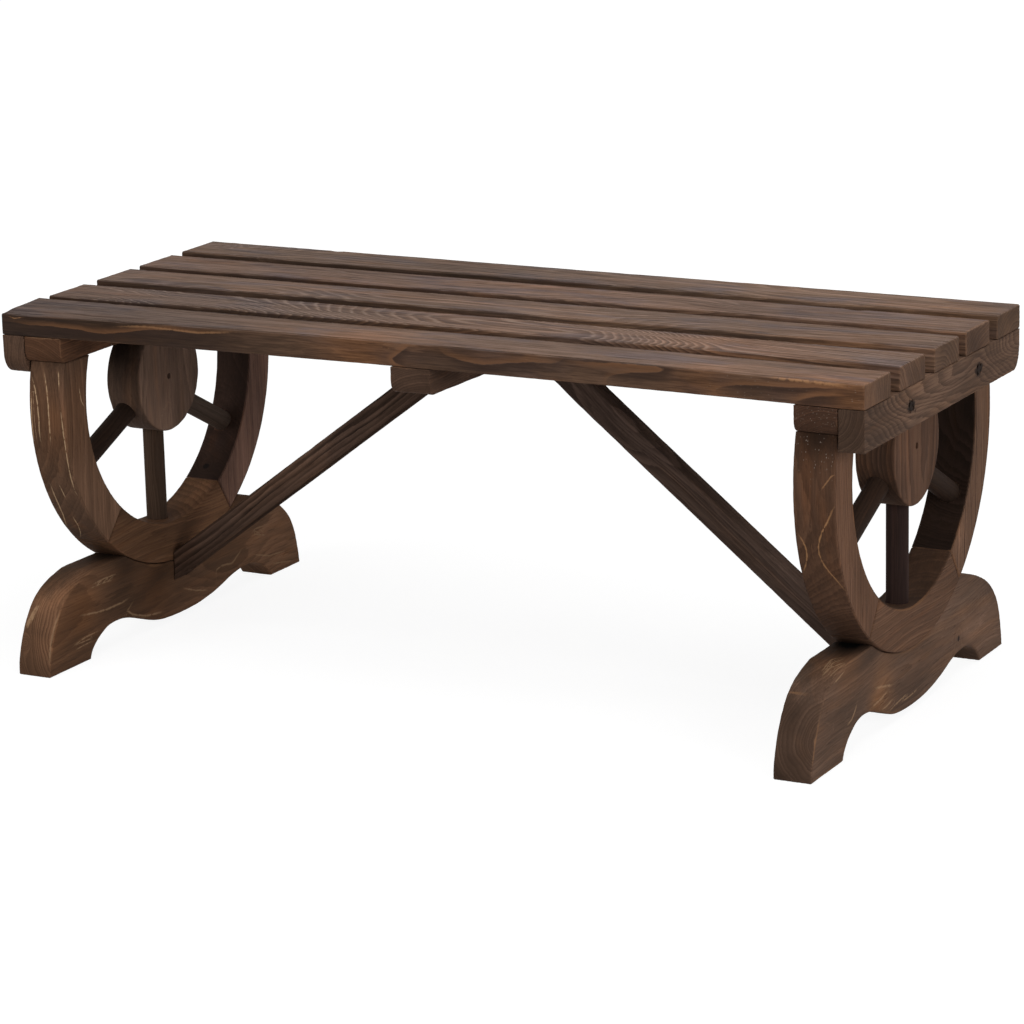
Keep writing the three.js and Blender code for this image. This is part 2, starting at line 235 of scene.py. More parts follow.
def raised_rows(rows, level):
    """Rows of points in a plane, each row with a level of its own, as one list of points."""
    return np.dstack([rows, np.broadcast_to(level[:, None], rows.shape[:2])]).reshape(-1, 3)


def belt_rows(half, eases, levels):
    """Level, inset and lean of the rows round a board's edge: a quarter round at its upper and at
    its lower face, whose radii are eases, and even levels between."""
    turn = np.radians([90, 67.5, 45, 22.5, 0])
    lift, back = 1 - np.sin(turn), 1 - np.cos(turn)
    upper, lower = eases
    even = np.linspace(half - upper, lower - half, levels + 1)[1:-1]
    level = np.concatenate([half - upper * lift, even, (lower * lift - half)[::-1]])
    inset = np.concatenate([upper * back, 0 * even, lower * back[::-1]])
    lean = np.concatenate([np.sin(turn), 0 * even, -np.sin(turn)[::-1]])
    return level, inset, lean


def inset_rows(loop, inset, lean):
    """Rows of a closed anticlockwise outline moved in by their insets, and the normals of their
    points, whose part along the levels is the lean."""
    step = np.roll(loop, -1, 0) - np.roll(loop, 1, 0)
    outward = np.stack([step[:, 1], -step[:, 0]], -1)
    outward /= np.linalg.norm(outward, axis=1, keepdims=True)
    flat = outward[None] * np.sqrt(1 - lean**2)[:, None, None]
    return loop[None] - outward[None] * inset[:, None, None], raised_rows(flat, lean)


# Edge is the distance to the nearest arris, and faces are one or more sets of equal-sided faces
Shape = namedtuple("Shape", "points normals edge faces")


def plank(stretches, half, eases, counts, corner=2 * MM, arrises=(True,) * 4):
    """A board whose outline is four stretches (bottom, right, top, left, anticlockwise) in p and q,
    and whose thickness is twice half along t. Its belt follows the outline, and each face is a
    Coons patch that shares the belt's last row. Arrises says which corners count as edges."""
    columns, rows, levels = counts
    u, v = share_steps(columns), share_steps(rows)
    curves = [along(curve, v if i % 2 else u) for i, curve in enumerate(round_corners(stretches, corner))]
    loop = np.vstack([curve[:-1] for curve in curves])
    level, inset, lean = belt_rows(half, eases, levels)
    ring, normal = inset_rows(loop, inset, lean)
    starts = np.array([0, columns, columns + rows, 2 * columns + rows])
    sharp = loop[starts[list(arrises)]]
    to_corner = np.linalg.norm(loop[:, None] - sharp[None], axis=2).min(1)
    edges = [np.minimum((half - np.abs(level))[:, None], to_corner[None]).ravel()]
    points, normals = [raised_rows(ring, level)], [normal]
    index = point_numbers(len(level), len(loop))
    faces = [quads_of(index.T)]

    def four_sides(line):
        a, b, c = starts[1:]
        return line[: a + 1], line[a : b + 1], line[b : c + 1][::-1], line[c:][::-1]

    start = len(points[0])
    for sign, row in ((1, 0), (-1, -1)):
        rim = np.vstack([ring[row], ring[row][:1]])
        flat = patch(*four_sides(rim), u, v)[1:-1, 1:-1].reshape(-1, 2)
        edge = np.full(len(flat), 1.0)
        for part in np.array_split(rim, 12):
            edge = np.minimum(edge, np.linalg.norm(flat[:, None] - part[None], axis=2).min(1))
        grid = np.zeros((rows + 1, columns + 1), int)
        grid[0], grid[:, -1], grid[-1], grid[:, 0] = four_sides(index[row])
        grid[1:-1, 1:-1] = start + np.arange(len(flat)).reshape(rows - 1, columns - 1)
        faces.append(quads_of(grid)[:, ::sign])
        points.append(np.column_stack([flat, np.full(len(flat), sign * half)]))
        normals.append(np.tile([0.0, 0.0, sign], (len(flat), 1)))
        edges.append(edge)
        start += len(flat)
    return Shape(np.vstack(points), np.vstack(normals), np.concatenate(edges), (np.vstack(faces),))


def placed(shape, axes, origin):
    """Carries a shape from p, q and t onto three axes of the frame, and turns its faces round where
    the axes are left-handed."""
    axes = np.array(axes)
    order = 1 if np.linalg.det(axes) > 0 else -1
    faces = tuple(some[:, ::order] for some in shape.faces)
    return Shape(shape.points @ axes + np.array(origin), shape.normals @ axes, shape.edge, faces)


def board(name, stretches, ease, counts, corner, height=0.0, arrises=(True,) * 4):
    """A plank as thick as a CAD node along X, whose outline lies in Y and Z above a height."""
    middle, half = centre_of(name)
    shape = plank(stretches, half[0], (ease, ease), counts, corner, arrises)
    return placed(shape, [Y_AXIS, Z_AXIS, X_AXIS], [middle[0], 0, height])


def across_axis(axis):
    """Two unit directions at right angles to an axis and to each other."""
    across = np.cross(axis, X_AXIS if abs(axis[0]) < 0.9 else Y_AXIS)
    across /= np.linalg.norm(across)
    return across, np.cross(axis, across)


def lathe(profile, sides, foot, axis):
    """A turned body: a profile of radius and height, from pole to pole, carried round an axis that
    rises from foot. A point is foot + height axis + radius (cos a across + sin a beyond)."""
    across, beyond = across_axis(axis)
    radius, height = np.array(profile).T[:, :, None, None]
    angle = np.arange(sides) * 2 * np.pi / sides
    spin = np.cos(angle)[:, None] * across + np.sin(angle)[:, None] * beyond
    body = (foot + height[1:-1] * axis + radius[1:-1] * spin[None]).reshape(-1, 3)
    poles = foot + height[[0, -1], 0] * axis
    index = point_numbers(len(radius) - 2, sides)
    low, high = len(body), len(body) + 1
    caps = np.vstack([
        np.column_stack([np.full(sides, low), index[0, 1:], index[0, :-1]]),
        np.column_stack([np.full(sides, high), index[-1, :-1], index[-1, 1:]]),
    ])
    return np.vstack([body, poles]), quads_of(index), caps


def add_mesh(name, points, *face_sets):
    """A mesh from points and sets of equal-sided faces."""
    mesh = bpy.data.meshes.new(name)
    mesh.from_pydata(points.tolist(), [], [face for faces in face_sets for face in faces.tolist()])
    mesh.validate()
    return mesh


def link_piece(name, mesh):
    """An object for a mesh, in the scene's own collection."""
    made = bpy.data.objects.new(name, mesh)
    bpy.context.scene.collection.objects.link(made)
    return made


def mesh_points(items, field):
    """A field with three numbers of a mesh's vertices or vertex normals, as an array."""
    flat = np.empty(len(items) * 3, np.float32)
    items.foreach_get(field, flat)
    return flat.reshape(-1, 3).astype(float)


def set_attribute(mesh, name, values):
    """Stores one number for each vertex."""
    layer = mesh.attributes.get(name) or mesh.attributes.new(name, "FLOAT", "POINT")
    layer.data.foreach_set("value", values.astype(np.float32))


def finished_mesh(mesh, points, sharp_angle, material):
    """Moves a mesh's vertices to their last places, shades it and gives it its material."""
    mesh.vertices.foreach_set("co", points.astype(np.float32).ravel())
    mesh.update()
    mesh.shade_smooth()
    mesh.set_sharp_from_angle(angle=math.radians(sharp_angle))
    mesh.materials.clear()
    mesh.materials.append(material)


def cut(piece, pockets):
    """Takes pockets, each a closed turned body, out of a piece at once, and keeps the result."""
    starts = np.cumsum([0] + [len(body) for body, _, _ in pockets])
    bodies = np.vstack([body for body, _, _ in pockets])
    quads = np.vstack([sides + start for (_, sides, _), start in zip(pockets, starts)])
    caps = np.vstack([ends + start for (_, _, ends), start in zip(pockets, starts)])
    cutter = link_piece("cutter", add_mesh("cutter", bodies, quads, caps))
    taken = piece.modifiers.new("pockets", "BOOLEAN")
    taken.operation, taken.solver, taken.object = "DIFFERENCE", "MANIFOLD", cutter
    graph = bpy.context.evaluated_depsgraph_get()
    mesh = bpy.data.meshes.new_from_object(piece.evaluated_get(graph))
    piece.modifiers.clear()
    before, piece.data = piece.data, mesh
    mesh.name = piece.name
    spare = cutter.data
    bpy.data.objects.remove(cutter)
    for unused in (before, spare):
        bpy.data.meshes.remove(unused)


def screw_pocket(head, direction, length):
    """The room that the CAD gives a screw: its outline grown by the fit, open behind the head."""
    wide, narrow, behind = SCREW_HEAD_RADIUS + FIT, SCREW_SHANK_RADIUS + FIT, -30 * MM
    profile = [
        (0, behind), (wide, behind), (wide, 0), (narrow, SCREW_HEAD_HEIGHT + FIT),
        (narrow, length - SCREW_TIP), (0, length + 2 * FIT),
    ]
    return lathe(profile, 24, head, direction)


def torn_recess(head, direction, seed):
    """Torn wood round a sunk screw head: a shallow turned body whose radius swings with four lobes
    and with noise round the axis."""
    profile = [(0, -6), (6, -6), (6, -0.6), (4.7, 0.5), (0, 0.6)]
    body, quads, caps = lathe(np.array(profile) * MM, 64, head, direction)
    height = ((body - head) @ direction)[:, None] * direction
    arm = body - head - height
    angle = np.arctan2(arm @ Z_AXIS, arm @ np.cross(direction, Z_AXIS))
    rough = waves(np.stack([np.cos(angle), np.sin(angle)], -1), 0.9, seed)
    swing = 1 + 0.3 * np.cos(4 * angle + seed) + 0.14 * rough
    return head + height + arm * swing[:, None], quads, caps


# Timber

# How a piece was cut from its tree: the direction of its fibres, the two directions across them,
# where the pith lies from the piece's middle along these, the width of a ring, how far and over
# what length the pith wanders, and how far it leans across for each metre along
Grain = namedtuple("Grain", "fibre across up pith ring wander stretch seed lean", defaults=(0.0,))

# A finish: colours, and how strongly rings, patches, warm streaks, wear and painted sheen show
Finish = namedtuple(
    "Finish",
    "body warm patch ring worn line ring_share patch_share warm_share wear_share wash_share haze_share "
    "streak_share gloss",
)


def growth(points, grain, middle):
    """Count of growth rings from the pith: the distance from a pith line that wanders slowly along
    the fibres, over the ring's width, with slow noise in the widths and fine noise in the lines."""
    reach = points - middle
    s, a, u = reach @ grain.fibre, reach @ grain.across, reach @ grain.up
    sway, heave = (
        grain.wander * waves(s[:, None], grain.stretch, grain.seed + more, 6) for more in (0, 1)
    )
    radius = np.hypot(a - grain.pith[0] - grain.lean * s - sway, u - grain.pith[1] - heave)
    widths = 0.7 * waves(radius[:, None], 5 * grain.ring, grain.seed + 2, 6)
    lines = 0.35 * waves(np.column_stack([s * 0.18, a, u]), 0.03, grain.seed + 3)
    return 40 + radius / grain.ring + widths + lines


def weathered(shape, seed, settings):
    """Moves each point inwards: a slow hollow of the planed face, a fine one of the brushed fibres,
    and bites along the arrises where the noise is highest."""
    hollow, brushed, bites, nibble = (
        waves(shape.points, size, seed + more) for more, size in enumerate((0.11, 0.019, 0.034, 0.012))
    )
    hollows = np.clip(0.5 + 0.5 * hollow, 0, 2) + 0.4 * np.clip(0.5 + 0.5 * brushed, 0, 2)
    near = np.exp(-((shape.edge / (4.5 * MM)) ** 2))
    bitten = settings.bite * np.clip(bites - 0.85, 0, 1) + settings.nibble * np.clip(0.5 + nibble, 0, 2)
    depth = settings.hollow * hollows + near * bitten
    return shape._replace(points=shape.points - shape.normals * depth[:, None])


def nearest_line(points, normals, lines, fade=(6, 0.15)):
    """For each point, the signed and the plain distance to the nearest of some polylines, over the
    line's half width, and the line's strength, which fades to its ends with the product of the
    shares before and behind. The sign says on which side of the line the point lies."""
    plain, signed, strength = (np.full(len(points), value) for value in (99.0, 99.0, 0.0))
    for half_width, full, *corners in lines:
        places = np.array(corners) * MM
        reach = np.append(0, np.cumsum(lengths(places)))
        for i, (a, b) in enumerate(zip(places, places[1:])):
            way = b - a
            share = np.clip((points - a) @ way / (way @ way), 0, 1)
            gap = points - a - share[:, None] * way
            distance = np.linalg.norm(gap, axis=1) / (half_width * MM)
            side = np.where((gap * np.cross(normals, way)).sum(1) < 0, -1.0, 1.0)
            gone = (reach[i] + share * (reach[i + 1] - reach[i])) / reach[-1]
            shown = full * np.clip(fade[0] * gone * (1 - gone) + fade[1], 0, 1)
            closer = distance < plain
            plain = np.where(closer, distance, plain)
            signed = np.where(closer, side * distance, signed)
            strength = np.where(closer, shown, strength)
    return signed, plain, strength


def contours(points, normals, lines):
    """For each point on a slat's front, the signed distance in millimetres to the nearest drawn
    contour, above zero on its light side, and how much the contour shows there: it fades towards
    its own ends and where the surface turns away from the front."""
    lines = [(1, 1, *((x, 0, z) for x, z in line)) for line in lines]
    signed, _, strength = nearest_line(points * [1, 0, 1], -Y_AXIS, lines, (5, 0.1))
    return signed, strength * np.clip(-normals[:, 1] * 1.5 - 0.4, 0, 1)


def away_from(points, centre, radius):
    """Distance from a place, over a radius, both given in millimetres."""
    return np.linalg.norm(points - np.array(centre) * MM, axis=1) / (radius * MM)


def blots(points, places):
    """Soft spots: the sum of a bell curve of the distance over its radius for each place."""
    found = np.zeros(len(points))
    for centre, radius, strength in places:
        found += strength * np.exp(-(away_from(points, centre, radius) ** 2))
    return found


def strayed(name, points):
    """Moves the parts of a piece that grew or were planed out of true: for each entry a move times
    the product of a smooth step along X, Y and Z, each from its first to its second place."""
    for move, *spans in STRAYS.get(name, ()):
        share = math.prod(smooth(part, *(np.array(ends) * MM)) for part, ends in zip(points.T, spans))
        points = points + share[:, None] * np.array(move) * MM
    return points


def settled(points, settings):
    """Raises what lies above the wheels' hubs as the used seat has sprung: by the bow times the
    share towards the front and towards the middle, and by the twist times the share towards the
    back and towards the left end. Both fade out below the wheels' heads by a smooth step."""
    x, y, z = points.T
    depth = y / SEAT_HALF_DEPTH
    left = np.clip(0.52 - 0.46 * x / SEAT_HALF_LENGTH, 0, 1)
    bow = settings.bow * np.clip(-depth, 0, 1) * np.clip(1 - (x / 0.5) ** 2, 0, 1)
    twist = settings.twist * np.clip(0.5 + depth / 2, 0, 1) * left
    return points + ((bow + twist) * smooth(z, 0.3, 0.35))[:, None] * Z_AXIS


def painted_shade_and_light_on(name, points, normals):
    """Painted shade as a share, and painted light below zero. A wheel's parts are darkened by how squarely
    a face looks at the wheel's middle line, or away from it where the strength is below zero, the slats
    on their long sides and in their gaps, and every piece in its own soft spots."""
    strength = WHEEL_PAINTED_SHADE.get(name, 0)
    arm = ([0, 0, WHEEL_CENTRE] - points) * [0, 1, 1]
    arm /= np.maximum(np.linalg.norm(arm, axis=1, keepdims=True), 1e-6)
    inside = abs(strength) * np.clip(np.sign(strength) * (normals * arm).sum(1), 0, 1)
    for way, share in FACINGS.get(name, ()):
        inside = inside + share * np.clip(normals @ np.array(way), 0, 1)
    if name.startswith("seat_slat"):
        gap = np.interp(points[:, 0], GAP_FADE, (GAP_PAINTED_SHADE, 0))
        front, back = (OUTER_PAINTED_SHADE if name.endswith(end) else gap for end in "15")
        inside = front * np.clip(-normals[:, 1], 0, 1) + back * np.clip(normals[:, 1], 0, 1)
    return 1 - (1 - inside) * (1 - blots(points, SHADES.get(name, ())))


def knots_and_hole_shade(name, points, torn, seed):
    """How far each point lies from the nearest of the knots and torn screw holes, over its radius. Round a
    hole the dark it gives is painted shade.
    """
    nearest = np.full(len(points), 9.0)
    for place, radius in torn:
        away = np.linalg.norm((points - place) * HOLE_SHADE_SHAPE, axis=1) / radius
        nearest = np.minimum(nearest, away * (1 + 0.3 * waves(points, 7 * MM, seed)))
    for place, radius in KNOTS.get(name, ()):
        nearest = np.minimum(nearest, away_from(points, place, radius))
    return nearest


def rings_on(name, points, grain, middle):
    """Count of growth rings, shifted where they climb through the surface and round branches and
    knots."""
    round_knots = [(place, 2.2 * radius, 5) for place, radius in KNOTS.get(name, ())]
    rings = growth(points, grain, middle) + blots(points, [*BUMPS.get(name, ()), *round_knots])
    for start, end, lift in SLOPES.get(name, ()):
        rings += lift * smooth(points @ np.abs(grain.fibre), start * MM, end * MM)
    return rings


def timber(name, shape, grain, family, pockets=(), torn=()):
    """Weathers a shape, cuts its pockets, stores what its material reads, sinks the soft wood and
    the scratches, and hands it in as the piece that replaces a CAD node."""
    settings = bpy.context.scene.bench_timber
    middle, _ = centre_of(name)
    shape = weathered(shape, grain.seed, settings)
    piece = link_piece(f"{name}_timber", add_mesh(f"{name}_timber", shape.points, *shape.faces))
    set_attribute(piece.data, "edge", shape.edge)
    if pockets:
        cut(piece, pockets)
    mesh = piece.data
    points, normals = mesh_points(mesh.vertices, "co"), mesh_points(mesh.vertex_normals, "vector")
    rings = rings_on(name, points, grain, middle)
    signed, plain, strength = nearest_line(points, normals, LINES.get(name, ()))
    stored = {
        "growth": rings, "scuff": signed, "scuff_near": plain, "scuff_strength": strength,
        "knot_and_hole_shade": knots_and_hole_shade(name, points, torn, grain.seed), "painted_shade_and_light": painted_shade_and_light_on(name, points, normals),
        "dust": blots(points, DUST.get(name, ())), "ember": blots(points, EMBERS.get(name, ())),
    }
    for label, lines in CONTOURS.get(name, {}).items():
        stored[label], stored[f"{label}_fade"] = contours(points, normals, lines)
    for label, values in stored.items():
        set_attribute(mesh, label, values)
    soft = np.interp(rings % 1, (0.35, 0.75, 0.9, 1), (1, 0, 0, 1))
    raised = 0 if family == "spoke" else settings.raised
    groove = SCRATCH_DEPTH * strength * np.clip(1 - plain, 0, 1)
    points = points - normals * np.minimum(raised * soft + groove, DEEPEST_WEAR)[:, None]
    points = settled(strayed(name, points), settings)
    finish = finish_of(settings, family, name)
    finished_mesh(mesh, points, 50, timber_material(name, grain, finish, middle))
    hand_in(piece, name)


def hand_in(piece, node):
    """Makes a piece stand for a CAD node, whose part it hides, and move with the bench."""
    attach(piece, "root")
    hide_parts(node)


# Materials


class Wire:
    """A number, vector or colour that a node gives. Arithmetic with it adds Math nodes."""

    def __init__(self, socket):
        self.socket = socket
        self.tree = socket.id_data

    def __add__(self, other):
        return maths("ADD", self, other)

    def __sub__(self, other):
        return maths("SUBTRACT", self, other)

    def __rsub__(self, other):
        return maths("SUBTRACT", other, self)

    def __mul__(self, other):
        return maths("MULTIPLY", self, other)

    def __truediv__(self, other):
        return maths("DIVIDE", self, other)

    def step(self, low, high, start=0.0, end=1.0):
        """Smooth step of a number from low to high, as numbers from start to end."""
        inputs = {"Value": self, "From Min": low, "From Max": high, "To Min": start, "To Max": end}
        made = node(self.tree, "ShaderNodeMapRange", inputs, interpolation_type="SMOOTHSTEP")
        return Wire(made.outputs["Result"])

    def stretched(self, parts):
        """A vector with each part multiplied by its own number."""
        return vector_maths("MULTIPLY", "Vector", self, parts)

    def noise(self, scale, detail=3.0, roughness=0.55, distortion=0.0):
        """The factor of a Noise Texture at a vector, whose scale is one number or one for each part."""
        even = not isinstance(scale, tuple)
        return Wire(node(self.tree, "ShaderNodeTexNoise", {
            "Vector": self if even else self.stretched(scale), "Scale": scale if even else 1.0,
            "Detail": detail, "Roughness": roughness, "Distortion": distortion,
        }).outputs["Fac"])


def node(tree, kind, inputs, **settings):
    """Adds a node, gives it its own settings, and sets or links its inputs."""
    made = tree.nodes.new(kind)
    for key, value in settings.items():
        setattr(made, key, value)
    for key, value in inputs.items():
        if isinstance(value, Wire):
            tree.links.new(value.socket, made.inputs[key])
        else:
            made.inputs[key].default_value = value
    return made


def tree_of(*values):
    """The node tree that the first wire among some values belongs to."""
    return next(value.tree for value in values if isinstance(value, Wire))


def maths(operation, *values, clamp=False):
    """The result of a Math node on up to three values."""
    inputs = dict(enumerate(values))
    made = node(tree_of(*values), "ShaderNodeMath", inputs, operation=operation, use_clamp=clamp)
    return Wire(made.outputs[0])


def vector_maths(operation, output, *values):
    """The result of a Vector Math node on one or two values."""
    inputs = dict(enumerate(values))
    made = node(tree_of(*values), "ShaderNodeVectorMath", inputs, operation=operation)
    return Wire(made.outputs[output])


def mix(share, first, second, blend="MIX"):
    """Two colours mixed by a share."""
    inputs = {0: share, 6: first, 7: second}
    tree = tree_of(share, first, second)
    return Wire(node(tree, "ShaderNodeMix", inputs, data_type="RGBA", blend_type=blend).outputs[2])


def bump(height, strength, distance):
    """A normal that leans with a height."""
    inputs = {"Height": height, "Strength": strength, "Distance": distance}
    return Wire(node(height.tree, "ShaderNodeBump", inputs).outputs["Normal"])


def read(tree, name):
    """The number that a piece stores under a name."""
    return Wire(node(tree, "ShaderNodeAttribute", {}, attribute_name=name).outputs["Fac"])


def source(tree, output):
    """An output of the Texture Coordinate node."""
    return Wire(node(tree, "ShaderNodeTexCoord", {}).outputs[output])


def effect(name, outputs, **inputs):
    """Turns a function of wires into one that places a node group, made once, and gives the group's
    outputs, which are numbers. Its inputs are vectors where their default is None, else numbers."""

    def new_group(build):
        made = bpy.data.node_groups.new(name, "ShaderNodeTree")
        for label, default in inputs.items():
            kind = "NodeSocketVector" if default is None else "NodeSocketFloat"
            socket = made.interface.new_socket(name=label.title(), in_out="INPUT", socket_type=kind)
            if default is not None:
                socket.default_value = default
        for label in outputs:
            made.interface.new_socket(name=label, in_out="OUTPUT", socket_type="NodeSocketFloat")
        entry, leave = made.nodes.new("NodeGroupInput"), made.nodes.new("NodeGroupOutput")
        results = build(*(Wire(entry.outputs[label.title()]) for label in inputs))
        for label, wire in zip(outputs, results):
            made.links.new(wire.socket, leave.inputs[label])
        return made

    def decorate(build):
        def place(**values):
            group = bpy.data.node_groups.get(name) or new_group(build)
            given = {label.title(): value for label, value in values.items()}
            made = node(tree_of(*values.values()), "ShaderNodeGroup", given, node_tree=group)
            return [Wire(made.outputs[label]) for label in outputs]
        return place
    return decorate


@effect("growth rings", ["Late Wood", "Early Wood", "Tone"], growth=0.0, vector=None, waver=0.5)
def growth_rings(growth, vector, waver):
    """Growth rings: the part of the ring count past its whole number rises to dark late wood and
    drops sharply to a pale line of early wood, and each whole number draws its ring's own tone."""
    count = growth + (vector.noise((31.2, 260, 260), 2) - 0.5) * waver
    part, whole = maths("FRACT", count), maths("FLOOR", count)
    drawn = node(count.tree, "ShaderNodeTexWhiteNoise", {"W": whole}, noise_dimensions="1D")
    tone = Wire(drawn.outputs["Value"])
    depth = vector.noise((5.5, 22, 22), 2)
    late = part.step(0.12, 0.9) * part.step(0.93, 1.0, 1.0, 0.0)
    late = late * depth.step(0.3, 0.7, 0.6, 1.0) * tone.step(0.0, 1.0, 0.6, 1.0)
    early = part.step(0.02, 0.1) * part.step(0.18, 0.4, 1.0, 0.0) * depth.step(0.3, 0.6, 0.3, 1.0)
    return late, early, tone


@effect("brushed fibres", ["Streak", "Pore"], vector=None)
def brushed_fibres(vector):
    """Brushed fibres: noise drawn out along X, as broad streaks and as short dark pores."""
    broad, fine = vector.noise((6, 150, 150), 4, 0.6), vector.noise((26, 520, 520), 3, 0.65)
    pore = vector.noise((40, 900, 900), 2, 0.5)
    return broad * 0.45 + fine * 0.55, pore.step(0.6, 0.74)


@effect("end grain", ["End"], normal=None, fibre=None)
def end_grain(normal, fibre):
    """End grain: 1 where the surface faces along the fibres, by the size of the dot product of its
    normal and the fibres' direction."""
    facing = vector_maths("DOT_PRODUCT", "Value", normal, fibre)
    return [maths("ABSOLUTE", facing).step(0.55, 0.9)]


@effect("flat ring edges", ["Glow", "Char"], contour=99.0, fade=0.0, vector=None)
def flat_ring_edges(contour, fade, vector):
    """Edges of late wood that lie flat in the surface: glow on the light side and char on the dark
    side of a line where the signed distance, roughened by noise, passes zero."""
    place = contour + (vector.noise(90, 3) - 0.5) * 2.4
    under = place * -1.0
    glow = place.step(0.0, 0.7) * place.step(0.5, 9.0, 1.0, 0.0)
    char = under.step(0.0, 0.7) * under.step(2.0, 15.0, 1.0, 0.0)
    return glow * fade, char * fade


@effect("burning patches", ["Cool", "Warm", "Haze"], vector=None)
def burning_patches(vector):
    """Clouds of the uneven burning, drawn out along X: cool patches, warm streaks and light haze."""
    cool = vector.noise((7, 26, 26), 4, 0.6, 0.4)
    warm = vector.noise((4.5, 38, 38), 4, 0.6, 0.3)
    haze = vector.noise((2.2, 9, 9), 3, 0.5, 0.2)
    return cool.step(0.46, 0.66), warm.step(0.5, 0.7), haze.step(0.35, 0.65)


@effect("edge wear", ["Bare", "Line"], edge=1.0, scuff=99.0, near=99.0, strength=0.0, vector=None,
        reach=2 * MM)
def edge_wear(edge, scuff, near, strength, vector, reach):
    """Wear: the distance to the nearest arris, roughened by noise, and scratches where the signed
    distance to a drawn line is under one and the line is truly near."""
    rough, spotty = vector.noise((14, 60, 60), 4, 0.65), vector.noise((5, 16, 16), 2, 0.5)
    bare = edge / (reach * rough.step(0.35, 0.75, 0.15, 1.6))
    bare = bare.step(0.35, 1.15, 1.0, 0.0) * spotty.step(0.52, 0.68)
    breaks = vector.noise(210, 2)
    line = maths("ABSOLUTE", scuff) / breaks.step(0.3, 0.6, 0.35, 1.0)
    line = line.step(0.1, 1.0, 0.9, 0.0) * near.step(3.0, 5.0, 1.0, 0.0) * breaks.step(0.25, 0.42)
    return bare, line * strength


@effect("dust specks", ["Speck"], vector=None)
def dust_specks(vector):
    """Dust and splinter specks: small cells of a Voronoi pattern, kept where a noise is high."""
    inputs = {"Vector": vector.stretched((0.5, 1, 1)), "Scale": 520.0}
    cells = node(vector.tree, "ShaderNodeTexVoronoi", inputs).outputs
    parts = node(vector.tree, "ShaderNodeSeparateColor", {"Color": Wire(cells["Color"])}).outputs
    return [Wire(cells["Distance"]).step(0.1, 0.32, 1.0, 0.0) * Wire(parts["Red"]).step(0.62, 0.9)]


def new_material(name):
    """A material and its empty node tree."""
    made = bpy.data.materials.new(name)
    made.use_nodes = True
    made.node_tree.nodes.clear()
    return made, made.node_tree


def principled(tree, inputs):
    """A Principled BSDF as a tree's surface."""
    shader = node(tree, "ShaderNodeBsdfPrincipled", inputs)
    node(tree, "ShaderNodeOutputMaterial", {"Surface": Wire(shader.outputs["BSDF"])})


